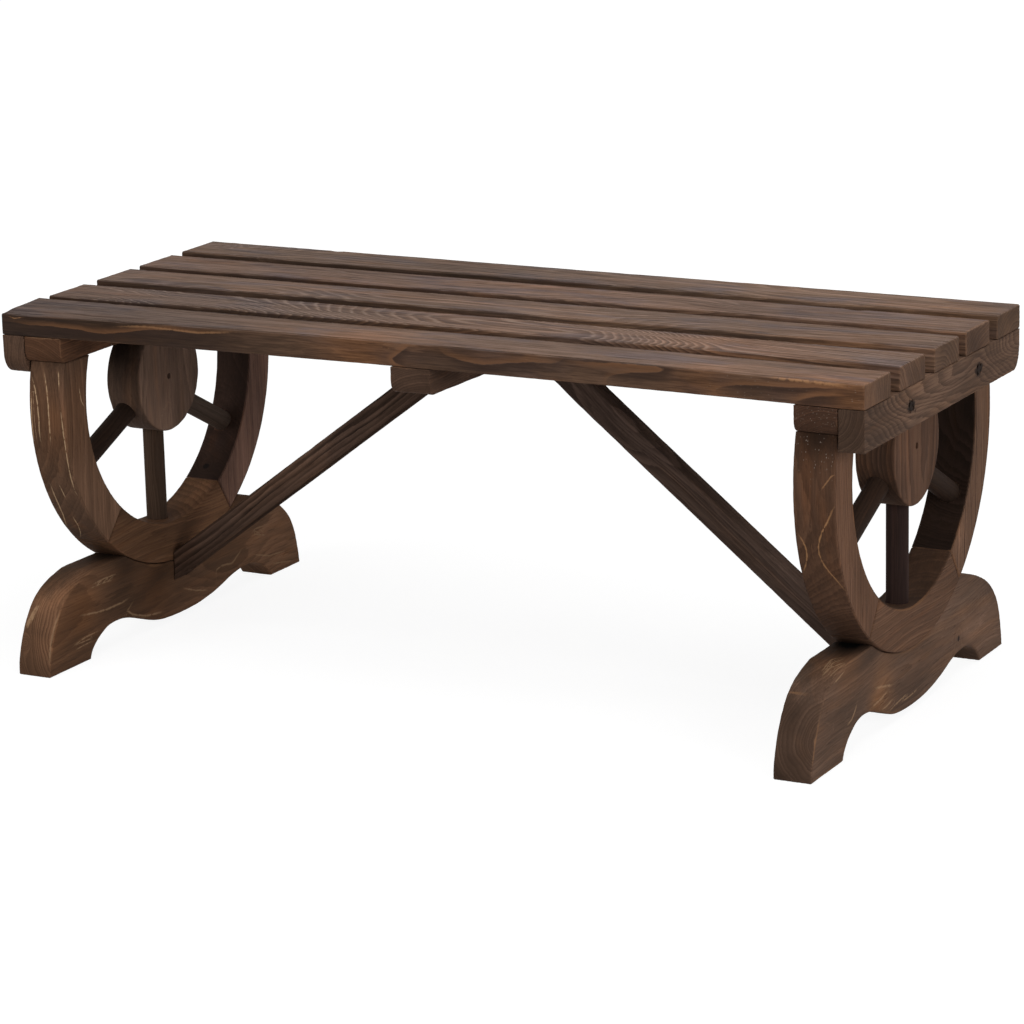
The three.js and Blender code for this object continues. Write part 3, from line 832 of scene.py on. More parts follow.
def timber_material(name, grain, finish, middle):
    """Charred and brushed softwood for one piece, its pattern turned so that X runs with the fibres."""
    made, tree = new_material(f"{name} timber")
    turn = Matrix([grain.fibre, grain.across, grain.up])
    shift = np.random.default_rng(grain.seed + 90).uniform(-4, 4, 3) - np.array(turn) @ middle
    vector = Wire(node(tree, "ShaderNodeMapping", {
        "Vector": source(tree, "Object"), "Location": shift.tolist(),
        "Rotation": turn.to_euler("XYZ"),
    }).outputs["Vector"])
    normal = source(tree, "Normal")
    late, early, tone = growth_rings(growth=read(tree, "growth"), vector=vector)
    streak, pore = brushed_fibres(vector=vector)
    cool, warm, haze = burning_patches(vector=vector)
    bare, line = edge_wear(
        edge=read(tree, "edge"), scuff=read(tree, "scuff"), near=read(tree, "scuff_near"),
        strength=read(tree, "scuff_strength"), vector=vector,
    )
    [speck] = dust_specks(vector=vector)
    [end] = end_grain(normal=normal, fibre=grain.fibre.tolist())
    calm = end.step(0.0, 1.0, 1.0, 0.3)
    top = Wire(node(tree, "ShaderNodeSeparateXYZ", {"Vector": normal}).outputs["Z"]).step(0.3, 0.9)

    ember = read(tree, "ember") * haze.step(0.0, 0.8, 0.4, 1.0)
    warm = maths("MAXIMUM", warm * finish.warm_share, ember) * calm
    colour = mix(warm, finish.body, finish.warm)
    # Cool patches show fully on upward faces and weaker elsewhere: partly the wood's own patches, partly
    # painted sheen on the tops.
    cool = cool * calm * top.step(0.0, 1.0, 0.4 * finish.patch_share, finish.patch_share)
    colour = mix(cool, colour, finish.patch)
    shade = (streak.step(0.38, 0.62, 0.68, 1.28) - 1.0) * calm * finish.streak_share + 1.0
    shade = shade * haze.step(0.0, 1.0, 1 - finish.haze_share, 1 + 0.7 * finish.haze_share)
    shade = shade * end.step(0.0, 1.0, 1.0, 0.82) * tone.step(0.0, 1.0, 0.84, 1.12)
    # Painted shade and painted light: the stored share darkens shaded faces and, below zero, lightens lit
    # ones.
    shade = shade * (1.0 - read(tree, "painted_shade_and_light"))
    grey = node(tree, "ShaderNodeCombineColor", dict.fromkeys(("Red", "Green", "Blue"), shade))
    colour = mix(1.0, colour, Wire(grey.outputs[0]), "MULTIPLY")
    colour = mix(late * end.step(0.0, 1.0, finish.ring_share, 0.6), colour, finish.ring)
    colour = mix(pore * calm * 0.5, colour, finish.ring)
    # Painted sheen: upward faces are washed towards pale grey, most on the streaks, and their pale early wood
    # shows.
    if finish.wash_share:
        painted_sheen = top * streak.step(0.35, 0.7) * finish.wash_share
        colour = mix(painted_sheen, colour, tint(152, 134, 126))
        colour = mix(early * top * 0.42 * finish.ring_share**2, colour, tint(166, 146, 132))
    if name in CONTOURS:
        (glow, char), (other_glow, other_char) = (
            flat_ring_edges(contour=read(tree, label), fade=read(tree, f"{label}_fade"), vector=vector)
            for label in CONTOURS[name]
        )
        glow = maths("MAXIMUM", glow, other_glow)
        char = maths("MAXIMUM", char, other_char) * (1.0 - glow)
        colour = mix(glow * 0.5, colour, finish.warm)
        colour = mix(char * 0.68, colour, finish.ring)
    colour = mix(bare * finish.wear_share, colour, finish.worn)
    colour = mix(line, colour, finish.line)
    colour = mix(speck * read(tree, "dust"), colour, tint(176, 160, 148))
    # Dark knots, and painted shade in and round the torn screw holes.
    colour = mix(read(tree, "knot_and_hole_shade").step(0.6, 1.1, 0.92, 0.0), colour, tint(22, 16, 14))

    rough = maths("MULTIPLY_ADD", bare, 0.08, streak * 0.25 + 0.64, clamp=True)
    height = late * 0.5 + streak * 0.6 - pore * 0.35 - line * 0.5
    principled(tree, {
        "Base Color": colour, "Roughness": rough, "Specular IOR Level": finish.gloss,
        "Normal": bump(height, 0.55, 0.35 * MM),
    })
    return made


def steel_material(name, colour, shine):
    """Dulled zinc on a screw, with patches of dark stain, painted shade in its cross recess and fine turned
    scratches.
    """
    made, tree = new_material(name)
    vector = source(tree, "Object")
    cloud = vector.noise(420, 4, 0.6)
    stain = cloud.step(0.42, 0.62) * 0.75
    # Painted shade: the cross recess is coloured near black.
    sunk = read(tree, "recess").step(0.05, 0.6)
    painted = mix(stain, colour, tint(48, 40, 36))
    bare = maths("SUBTRACT", 1.0, maths("MAXIMUM", stain, sunk), clamp=True)
    principled(tree, {
        "Base Color": mix(sunk, painted, tint(14, 11, 10)), "Roughness": cloud * 0.3 + 0.3,
        "Metallic": bare * shine, "Normal": bump(vector.noise(3000, 2), 0.3, 0.05 * MM),
    })
    return made


# What each piece is cut from


def side_grain(side, pith, ring, wander, stretch, seed, upright=False):
    """Grain of a timber at one end: fibres along Y, or up where it stands, across points outwards.
    The ring's width and how far the pith wanders are in millimetres."""
    outwards = side * X_AXIS
    axes = (Z_AXIS, outwards, np.cross(Z_AXIS, outwards)) if upright else (-side * Y_AXIS, outwards, Z_AXIS)
    return Grain(*axes, pith, ring * MM, wander * MM, stretch, seed)


SLAT_GRAINS = [
    ((0.16, -0.02), 4.6 * MM, 4 * MM, 0.34, 21),
    ((0.006, -0.03), 4.4 * MM, 4 * MM, 0.3, 31, -0.13),
    ((-0.03, -0.05), 5 * MM, 6 * MM, 0.4, 41),
    ((0.04, -0.08), 4 * MM, 5 * MM, 0.4, 51),
    ((0.03, -0.06), 5 * MM, 6 * MM, 0.4, 61),
]

# Warm, patch, ring, worn and line colours, and the shares of rings, patches, warm streaks, wear,
# painted sheen on the tops, haze and brushed streaks, and the gloss
FAMILIES = {
    "seat": (
        (136, 92, 62), (82, 70, 72), (52, 38, 32), (142, 108, 84), (186, 138, 96),
        0.6, 0.75, 0.5, 0.35, 0.36, 0.22, 1.15, 0.09,
    ),
    "rail": (
        (122, 86, 62), (84, 68, 60), (40, 29, 24), (136, 100, 74), (164, 128, 98),
        0.95, 0.4, 0.4, 0.4, 0.0, 0.16, 0.8, 0.07,
    ),
    "wheel": (
        (118, 78, 52), (72, 56, 48), (44, 31, 25), (140, 100, 72), (176, 140, 108),
        0.45, 0.5, 0.45, 0.5, 0.0, 0.28, 0.5, 0.07,
    ),
    "spoke": (
        (78, 54, 40), (46, 37, 34), (24, 18, 17), (80, 62, 50), (120, 96, 76),
        0.4, 0.4, 0.4, 0.3, 0.0, 0.3, 0.35, 0.05,
    ),
    "foot": (
        (128, 86, 58), (76, 60, 50), (46, 33, 26), (150, 110, 78), (172, 138, 106),
        0.4, 0.7, 0.35, 0.5, 0.0, 0.36, 0.5, 0.07,
    ),
    "brace": (
        (108, 76, 56), (62, 50, 46), (14, 10, 9), (120, 90, 68), (150, 118, 90),
        1.0, 0.4, 0.4, 0.4, 0.0, 0.2, 0.6, 0.0,
    ),
}

# Tones that single pieces have beside their family, partly their own colour and partly painted light: shares
# of red, green and blue in linear light
TONES_AND_PAINTED_LIGHT = {
    "rim_front_left": (1.24, 1.3, 1.33), "rim_front_right": (0.78, 0.76, 0.76),
    "rim_back_left": (1.7, 1.8, 2.2), "rim_back_right": (1.25, 1.3, 1.35),
    "rim_bottom_left": (1.2, 1.14, 1.0), "centre_rail": (0.8, 0.8, 0.82),
    "hub_left": (1.95, 2.28, 2.7), "hub_right": (1.08, 1.08, 1.12),
    "spoke_down_left": (1.9, 1.95, 1.85), "spoke_down_right": (1.12, 1.08, 1.3),
    "spoke_back_left": (3.2, 3.8, 4.2), "outer_rail_right": (1.4, 1.46, 1.5),
    "inner_rail_left": (1.15, 0.95, 0.78), "inner_rail_right": (0.78, 0.68, 0.64),
    "foot_left": (1.28, 1.25, 1.12), "foot_right": (1.06, 1.16, 1.22),
    "brace_left": (1.32, 1.4, 1.5), "brace_right": (1.15, 1.3, 1.5),
    "seat_slat_1": (1.02, 1.06, 1.08), "seat_slat_2": (1.1, 1.12, 1.12),
    "seat_slat_3": (1.14, 1.2, 1.22), "seat_slat_4": (1.05, 1.07, 1.1),
    "seat_slat_5": (0.84, 0.9, 0.91),
}

# Colours of the scratches on single pieces, where they aren't their family's
LINE_TINTS = {"rim_front_right": (176, 130, 90), "rim_front_left": (200, 166, 130)}

# How strongly single pieces show their rings, where it isn't their family's share
RINGS = {
    "seat_slat_2": 0.9, "seat_slat_3": 0.7, "seat_slat_1": 0.45, "hub_left": 0.25, "hub_right": 0.85,
    "rim_back_right": 1.0, "rim_bottom_left": 0.4, "rim_front_left": 0.35, "outer_rail_left": 0.6,
    "outer_rail_right": 0.8, "inner_rail_left": 0.6, "centre_rail": 0.6, "foot_right": 0.36,
    "brace_right": 0.6,
}


def finish_of(settings, family, name):
    """The finish of a piece: its family's, whose body colour the panel gives, times its own tone, which also
    paints light.
    """
    colours, shares = FAMILIES[family][:4], FAMILIES[family][5:]
    body, warm, patched, ring, worn = getattr(settings, f"{family}_colour"), *(tint(*c) for c in colours)
    tone = np.array([*TONES_AND_PAINTED_LIGHT.get(name, (1, 1, 1)), 1.0])
    own = [tuple((np.array(colour) * tone).tolist()) for colour in (body, warm, patched)]
    finish = Finish(*own, ring, worn, tint(*LINE_TINTS.get(name, FAMILIES[family][4])), *shares)
    return finish._replace(ring_share=RINGS.get(name, finish.ring_share))


# Painted shade, such as contact shadows and shade under the seat, and painted light below zero: centre in
# millimetres, radius and strength
SHADES = {
    "outer_rail_right": [
        ((520, -226, 366), 70, 0.42), ((530, -160, 362), 60, 0.2), ((530, 110, 375), 110, 0.28),
    ],
    "rim_front_right": [
        ((474, -221, 352), 26, 0.75), ((468, -108, 104), 20, 0.8), ((500, -150, 130), 40, -0.4),
    ],
    "rim_bottom_right": [((468, -108, 104), 20, 0.8)],
    "seat_slat_1": [
        ((-480, -180, 413), 270, 0.54), ((-330, -190, 413), 120, 0.1), ((-260, -225, 398), 60, 0.2),
        ((60, -226, 396), 60, 0.28),
    ],
    "seat_slat_2": [((-500, -90, 413), 260, 0.24), ((548, -90, 396), 30, 0.4)],
    "seat_slat_3": [((-500, 0, 413), 260, 0.3), ((548, 0, 396), 30, 0.55)],
    "seat_slat_4": [((-500, 90, 413), 260, 0.1), ((548, 90, 396), 30, 0.6)],
    "seat_slat_5": [((-400, 180, 413), 130, -0.25), ((330, 160, 413), 200, -0.35)],
    "foot_left": [
        ((-452, -100, 80), 60, 0.35), ((-452, -220, 45), 40, 0.25), ((-452, 40, 60), 60, 0.1),
        ((-475, -118, 104), 34, 0.7), ((-452, -43, 68), 34, 0.55), ((-452, 200, 60), 60, -0.45),
    ],
    "foot_right": [
        ((470, -250, 60), 60, 0.2), ((493, 90, 85), 75, -0.65), ((493, 190, 85), 60, -0.4),
        ((470, -135, 105), 30, 0.6), ((468, -108, 104), 22, 0.93), ((478, -178, 100), 45, 0.3),
    ],
    "rim_front_left": [((-475, -222, 250), 36, 0.15), ((-452, -190, 195), 50, -0.4)],
    "rim_back_right": [((476, 120, 160), 34, -1.0)],
    "rim_bottom_left": [((-476, 85, 108), 44, -1.1), ((-476, 48, 88), 34, -0.9)],
    "hub_left": [((-490, -50, 335), 34, 0.75)],
    "hub_right": [((476, -47, 262), 26, 0.6)],
}

# Warmer places, in the same way
EMBERS = {
    "foot_right": [((478, -178, 104), 34, 0.7), ((493, -85, 46), 30, 1.0), ((493, -110, 30), 20, 0.8)],
    "foot_left": [((-452, -205, 60), 34, 0.7), ((-452, -60, 45), 34, 0.6), ((-475, -270, 40), 40, 0.6)],
    "seat_slat_1": [((500, -225, 395), 60, 1.0), ((-60, -225, 396), 50, 0.9), ((350, -225, 396), 40, 0.7)],
    "seat_slat_5": [((480, 185, 413), 60, 1.0)],
    "rim_front_left": [((-470, -215, 290), 60, 0.8)],
    "seat_slat_3": [((420, -20, 413), 60, 0.7)],
    "seat_slat_2": [((330, -95, 413), 90, 0.6), ((-20, -95, 413), 70, 0.6)],
}

# Dust specks, in the same way
DUST = {
    "rim_front_right": [((474, -219, 342), 26, 0.8)],
    "inner_rail_right": [((476, -225, 370), 24, 0.5)],
    "seat_slat_3": [((528, 12, 413), 30, 0.8)],
    "seat_slat_4": [((528, 90, 413), 26, 0.6)],
    "seat_slat_1": [((400, -190, 413), 60, 0.25), ((528, -225, 400), 18, 0.5)],
}

# Places above which branches bent the rings, in the same way: the strength is a count of rings
BUMPS = {
    "outer_rail_left": [((-530, 60, 388), 40, 4.5)],
    "brace_right": [((150, -22, 296), 60, 3)],
    "seat_slat_5": [((-495, 206, 413), 14, 2.5)],
}

# Knots: centre and radius in millimetres
KNOTS = {
    "foot_right": [((493.2, 138.7, 44.9), 4.2)],
    "foot_left": [((-489, -273, 37), 2.6)],
    "rim_back_left": [((-479.5, 110.3, 160.8), 5.0)],
}

# Stretches along the fibres in which the rings climb through the surface: start, end, and how many
SLOPES = {
    "seat_slat_2": [(-470, -380, -3), (-330, 0, -13), (140, 330, 15)],
    "seat_slat_3": [(-350, -100, 4), (100, 300, -4)],
    "seat_slat_4": [(-200, 150, 5)],
    "seat_slat_5": [(-480, -380, 4), (0, 300, -5)],
    "outer_rail_right": [(-240, -90, -9), (-90, 80, -3), (80, 240, -9)],
}

# Painted shade on the faces that look one way: the way and the strength, below zero where they get painted
# light
FACINGS = {
    "rim_front_right": [(X_AXIS, -0.5)], "rim_front_left": [(X_AXIS, -0.4)],
    "rim_back_left": [(X_AXIS, -0.5)], "foot_left": [(-Y_AXIS, -0.5)], "foot_right": [(X_AXIS, -0.1)],
}

# Painted shade on the wheels' faces that look at the wheel's middle, or away from it below zero
WHEEL_PAINTED_SHADE = {
    "rim_back_left": 0.8, "rim_back_right": 0.93, "rim_bottom_right": 0.55,
    "rim_front_left": 0.4, "rim_front_right": 0.4, "hub_left": -0.45, "hub_right": -0.4,
}

# Painted shade on the slats' long sides: on the seat's front and back, and in the gaps, where it fades out
# between two places along X, in metres
OUTER_PAINTED_SHADE = 0.26
GAP_PAINTED_SHADE = 0.55
GAP_FADE = (-0.15, 0.52)

# What strayed from true: a move in millimetres, and the smooth steps along X, Y and Z that share it
STRAYS = {
    "seat_slat_1": [
        ((0, 4, 1.6), (-100, -530), (-190, -148), (386, 400)),
        ((0, 0, -2.4), (-100, -530), (-195, -226), (392, 413)),
    ],
}

# Worn lines


def rim_front(z):
    """Depth of a rim's front at a height, both in millimetres: a circle about the wheel's centre."""
    return -math.sqrt((RIM_RADIUS / MM) ** 2 - (z - WHEEL_CENTRE / MM) ** 2)


def toe_front(z):
    """Depth of a foot's toe at a height, both in millimetres."""
    depth, height = (spline(np.array(FRONT_TOE)) * [FOOT_HALF_LENGTH, FOOT_SHOULDER] / MM).T
    return np.interp(z, height, depth)


def seat_front(_):
    """Depth of the seat's front in millimetres, the same at all heights."""
    return -SEAT_HALF_DEPTH / MM


def front_lines(depth, *lines):
    """Lines of a half width, a strength and pairs along X and Z, on a front whose depth is given."""
    return [(half, full, *((x, depth(z), z) for x, z in pairs)) for half, full, *pairs in lines]


def side_lines(name, *lines):
    """Lines of a half width, a strength and pairs along Y and Z, on a piece's right side."""
    x = top_of(name)[0] / MM
    return [(half, full, *((x, y, z) for y, z in pairs)) for half, full, *pairs in lines]


LINES = {
    "rim_front_right": front_lines(
        rim_front,
        (1.3, 0.6, (496, 316), (492, 314), (487, 307), (482, 300)),
        (1.6, 0.9, (496, 283), (493, 278), (487, 265), (480, 253), (476, 243), (474, 235), (474, 226),
         (477, 216), (482, 207), (489, 197), (495, 186)),
        (1.6, 0.9, (453.5, 248), (457, 241), (460, 234), (460, 224), (457, 214), (453, 205)),
    ),
    "rim_front_left": front_lines(
        rim_front,
        (1.4, 1.0, (-495, 336), (-491, 325), (-488, 309), (-487, 291), (-488, 276), (-488, 263)),
        (1.4, 1.0, (-479, 344), (-475, 326), (-473, 306), (-473, 289), (-474, 263)),
        (1.1, 1.0, (-460, 346), (-458, 329)),
        (1.3, 1.0, (-456, 304), (-455, 287), (-454.5, 266), (-455, 248), (-456.5, 222), (-457, 203),
         (-455.5, 197)),
        (1.2, 1.0, (-496, 318), (-496.5, 298), (-497, 280), (-497.5, 262)),
        (1.3, 1.0, (-489, 209), (-489, 196), (-489, 182), (-490.5, 167), (-496, 149)),
        (1.2, 1.0, (-476.5, 209), (-475, 199), (-474.5, 193)),
        (1.2, 1.0, (-477.5, 166), (-478, 153), (-482, 142), (-488, 134)),
    ) + side_lines("rim_front_left", (1.2, 1.0, (-190, 322), (-187, 307), (-182, 299.5))),
    "foot_left": side_lines(
        "foot_left",
        (1.7, 0.62, (-183, 88), (-158, 89), (-135, 88)),
        (1.3, 0.62, (-188, 84.5), (-163, 84.5), (-144, 83)),
        (2.2, 0.6, (-211, 57.5), (-180, 53), (-155, 51), (-125, 51), (-112, 52.5)),
        (2.2, 0.6, (-104, 45.5), (-115, 38.5), (-105, 31), (-75, 21.5), (-40, 17.5)),
        (1.7, 0.62, (-227, 26), (-204, 29.5), (-178, 30)),
        (1.4, 0.62, (-223, 20), (-208, 21), (-192, 21.5)),
        (2.2, 0.6, (80, 31.5), (81, 39), (95, 41), (119, 38.5), (141, 50.5)),
        (1.7, 0.62, (7, 34.5), (33, 25.5), (60, 18.5)),
        (1.7, 0.62, (166, 65), (173, 68.5), (193, 68)),
        (1.4, 0.62, (168, 63), (197, 55)),
        (1.7, 0.62, (166, 37.5), (204, 26.5), (244, 23.5)),
        (1.7, 0.62, (213, 14), (257, 7)),
    ) + front_lines(
        toe_front,
        (2.1, 0.75, (-486, 76.5), (-489, 68), (-492, 57.5), (-492.5, 53)),
        (1.6, 0.75, (-486.5, 70), (-489, 62), (-490, 52)),
        (1.6, 0.75, (-483, 77), (-485, 70), (-487, 58)),
        (2.2, 0.5, (-453, 72), (-454, 64), (-454.5, 53), (-454.5, 35), (-453, 17)),
    ),
    "foot_right": side_lines(
        "foot_right",
        (2.6, 0.6, (-106, 55.5), (-85, 51.5), (-59, 46)),
        (2.6, 0.6, (-71, 42.5), (-90, 39), (-113, 37)),
        (2.2, 0.6, (-56, 29), (-73, 26.5), (-87, 25.5)),
        (1.7, 0.62, (-17, 24), (-42, 21.5), (-65, 19)),
        (1.7, 0.62, (14, 20.5), (-8, 19), (-27, 19)),
        (2.2, 0.6, (-157, 52.5), (-162, 46.5), (-171, 39.5), (-182, 37)),
        (1.7, 0.62, (-219, 92), (-203, 95), (-189, 98)),
    ) + [
        (1.9, 0.5, (473.5, -204, 100), (473.5, -190, 103.5), (473.5, -176, 105), (480.5, -166, 105)),
        (1.4, 0.5, (477, -203, 100), (478, -187, 104), (484.5, -171, 105)),
        (1.9, 0.5, (477.5, -213, 97.5), (479.5, -196, 102), (489.5, -182, 105)),
        (1.4, 0.5, (485.5, -214, 97), (488, -197, 101.5), (491.5, -184, 104)),
    ],
    "seat_slat_1": front_lines(
        seat_front,
        (3.2, 0.6, (426, 412.5), (441, 412), (476, 411.5), (510, 410.5)),
        (2.2, 0.4, (-374, 406.5), (-348, 408.5), (-328, 409), (-301, 407.5), (-262, 406), (-220, 410)),
        (1.1, 0.6, (-519, 410), (-512, 408), (-501, 410)),
    ),
    "seat_slat_5": [(1.6, 0.5, (435, 178, 413), (470, 177, 413), (524, 176, 413))],
    "inner_rail_left": [
        (1.2, 0.7, (-503, -225.5, 376), (-503, -225.5, 364), (-499, -224, 356), (-476, -222, 352),
         (-452, -222, 351)),
        (1.0, 0.6, (-498, -225.5, 385), (-478, -225.5, 385.5), (-450, -225.5, 385.5)),
    ],
}

# Edges of flat late wood on the front of a slat, along X and Z in millimetres, light above where X
# grows. They are two sets, so that each point can lie between two of them
CONTOURS = {
    "seat_slat_1": {
        "contour": [
            [(-523, 402.5), (-503, 401.5), (-489, 400), (-467, 400.5), (-447, 400), (-422, 398.5),
             (-399, 395.5), (-382, 396.5), (-361, 400), (-336, 404.5), (-303, 407), (-279, 405),
             (-246, 405.5), (-220, 408.5)],
            [(40, 409.5), (44, 405), (53, 402), (68, 399), (83, 397), (98, 397), (118, 400),
             (138, 402.5), (150, 404.5), (161, 404), (176, 404.5), (188, 409), (190, 412)],
            [(367, 388), (364, 393), (370, 396.5), (387, 400.5), (414, 402), (441, 403), (469, 405),
             (497, 407), (517, 407), (526, 405)],
        ],
        "contour_between": [
            [(1, 387.5), (-13, 389.5), (-18, 395), (-8, 402.5), (5, 411.5)],
            [(241, 387.5), (239, 391.5), (241, 395.5), (251, 399.5), (268, 402.5), (290, 405),
             (303, 407), (307, 410), (297, 412), (276, 412), (247, 411.5), (218, 410), (191, 410.5)],
            [(452, 388), (462, 392.5), (476, 396.5), (497, 399), (510, 399)],
        ],
    },
}

# Places of the pieces


def screw_line(name):
    """Head, direction and length of a screw, as the CAD places it: rail screws point inwards, the
    braces' toe screws outwards, the arms' screws down and all others up."""
    middle, half = centre_of(name)
    side = 1 if middle[0] > 0 else -1
    ways = {"rail": -side * X_AXIS, "brace_foot": side * X_AXIS, "arm": -Z_AXIS}
    way = next((way for kind, way in ways.items() if name.startswith(kind)), Z_AXIS)
    reach = half @ np.abs(way)
    return middle - reach * way, way, 2 * reach


def screws_of(end):
    """Names of the screws at one end."""
    kinds = [f"{kind}_screw_{place}" for place in ("front", "back") for kind in ("rail", "arm", "foot")]
    named = [f"{kind}_{end}" for kind in (*kinds, "brace_foot_screw", "brace_head_screw")]
    return named + slat_screws(end)


def slat_screws(place):
    """Names of the screws into the slats at one end or at the centre."""
    return [f"slat_screw_{place}_{index}" for index in range(1, 6)]


SCREWS = {
    name: screw_line(name)
    for name in (*slat_screws("centre"), *screws_of("left"), *screws_of("right"))
}


def pockets_of(*names):
    """Pockets of the named screws."""
    return [screw_pocket(*SCREWS[name]) for name in names]


def spoke_line(name):
    """Foot, direction and length of a spoke: it lies on a line through a point under the wheel's
    centre, and reaches one socket's depth into hub and rim."""
    angle = math.radians(SPOKE_ANGLES[name.split("_")[1]])
    sideways, lowered = SPOKE_DROP * math.sin(angle), SPOKE_DROP * math.cos(angle)
    start = math.sqrt(HUB_RADIUS**2 - sideways**2) - lowered - SPOKE_SOCKET
    end = math.sqrt(RIM_INNER**2 - sideways**2) - lowered + SPOKE_SOCKET
    way = np.array([0.0, math.sin(angle), -math.cos(angle)])
    foot = np.array([centre_of(name)[0][0], 0.0, WHEEL_CENTRE - SPOKE_DROP]) + way * start
    return foot, way, end - start


def spoke_socket(name):
    """The socket that the CAD gives a spoke."""
    foot, way, length = spoke_line(name)
    radius = SPOKE_RADIUS + FIT
    return lathe([(0, -FIT), (radius, -FIT), (radius, length + FIT), (0, length + FIT)], 48, foot, way)


def head_angle(radius):
    """The angle from straight down at which a circle about the wheel's centre meets its flat head."""
    return math.acos(-WHEEL_HEAD / radius)


def rail_stretches(height, front_taper, back_taper):
    """Outline of a rail in Y and Z from its top: a lower corner is square, or a quarter of an
    ellipse that is shared out between the two stretches that meet there."""
    half = SEAT_HALF_DEPTH

    def corner(taper, back):
        if taper is None:
            return np.array([(back * half, -height)])
        angle = np.linspace(0, np.pi / 2, 24)
        across, up = taper[0] * (1 - np.sin(angle)), taper[1] * (1 - np.cos(angle))
        return np.stack([back * (half - across), up - height], -1)

    front, back = corner(front_taper, -1), corner(back_taper, 1)
    a, b = len(front) // 2, len(back) // 2
    bottom = np.vstack([front[: a + 1][::-1], back[: b + 1]])
    right = np.vstack([back[b:], [(half, 0)]])
    left = np.vstack([[(-half, 0)], front[a:][::-1]])
    return [bottom, right, np.array([(half, 0), (-half, 0)]), left]


def hub_shape(half, ease, counts):
    """A ring body between a round bore and an outline that is a circle cut level at the wheel's
    head. A row is the mix of the two loops by a share; the rows run from the bore over one face,
    round its arris, across the rim and back over the other face."""
    sides, face_rows, levels = counts
    arc = circle_arc(HUB_RADIUS, -head_angle(HUB_RADIUS), head_angle(HUB_RADIUS), 400)
    closed = np.vstack([arc, arc[:1]])
    flat_share = lengths(closed)[-1] / lengths(closed).sum()
    flat_sides = int(sides * flat_share)
    outline = along(closed, np.concatenate([
        (1 - flat_share) * share_steps(sides - flat_sides, 0.35),
        1 - flat_share + flat_share * share_steps(flat_sides, 0.5)[1:-1],
    ]))
    rows = belt_rows(half, (ease, ease), levels)
    outwards = np.linspace(0, 1, face_rows + 1)[:-1] ** 0.9
    share = np.concatenate([outwards, np.ones(len(rows[0])), outwards[::-1]])
    level, inset, lean = (np.pad(part, face_rows, mode="edge") for part in rows)
    ring, normals = inset_rows(outline, inset, lean)
    bore = outline * HUB_BORE / np.linalg.norm(outline, axis=1, keepdims=True)
    ring = bore * (1 - share)[:, None, None] + ring * share[:, None, None]
    on_face = np.minimum(share, 1 - share) * (HUB_RADIUS - HUB_BORE)
    edge = np.where(share < 1, on_face, half - np.abs(level)).repeat(len(outline))
    index = point_numbers(len(share), len(outline), closed=True)
    return Shape(raised_rows(ring, level), normals, edge, (quads_of(index.T),))


def spoke_shape(foot, way, length):
    """A turned rod whose ends have a small chamfer."""
    chamfer = 1 * MM
    body = [(SPOKE_RADIUS, level) for level in np.linspace(chamfer, length - chamfer, 70)]
    ends = [(0, 0), (SPOKE_RADIUS - chamfer, 0)], [(SPOKE_RADIUS - chamfer, length), (0, length)]
    points, *faces = lathe([*ends[0], *body, *ends[1]], 48, foot, way)
    arm = points - foot - ((points - foot) @ way)[:, None] * way
    outward = arm / np.maximum(np.linalg.norm(arm, axis=1, keepdims=True), 1e-6)
    return Shape(points, outward, np.full(len(points), 0.05), faces)


def foot_stretches(arch):
    """Outline of a foot: the sole with its arches, the heel, the back over the saddle and the
    shoulder, and the toe. The heel is the back's last four spans, and the toe's two upper spans
    belong to the top. The saddle is the circle round the rim, one fit larger."""
    half, shoulder, radius = FOOT_HALF_LENGTH, FOOT_SHOULDER, RIM_RADIUS + FIT
    arches = spline(np.array(ARCHES) * [half, arch])[::-1]
    back, toe = (spline(np.array(part) * [half, shoulder])[::-1] for part in (BACK_TOE, FRONT_TOE))
    bottom = np.vstack([[(-half, 0)], arches, [(half, 0)]])
    heel_end, toe_start = 4 * SPLINE_STEPS, 2 * SPLINE_STEPS
    ridge = np.vstack([back[heel_end:], [(FRONT_SHOULDER * half, shoulder)]])
    fine = along(ridge, np.linspace(0, 1, 2000))
    in_rim = np.flatnonzero(np.hypot(fine[:, 0], fine[:, 1] - WHEEL_CENTRE) < radius)
    first, last = in_rim[0], in_rim[-1]
    start, end = (math.atan2(y, WHEEL_CENTRE - z) for y, z in fine[[first, last]])
    saddle = circle_arc(radius, start, end, 160) + [0, WHEEL_CENTRE]
    top = np.vstack([fine[:first], saddle, fine[last + 1 :], toe[: toe_start + 1]])
    return [bottom, back[: heel_end + 1], top, toe[toe_start:]]


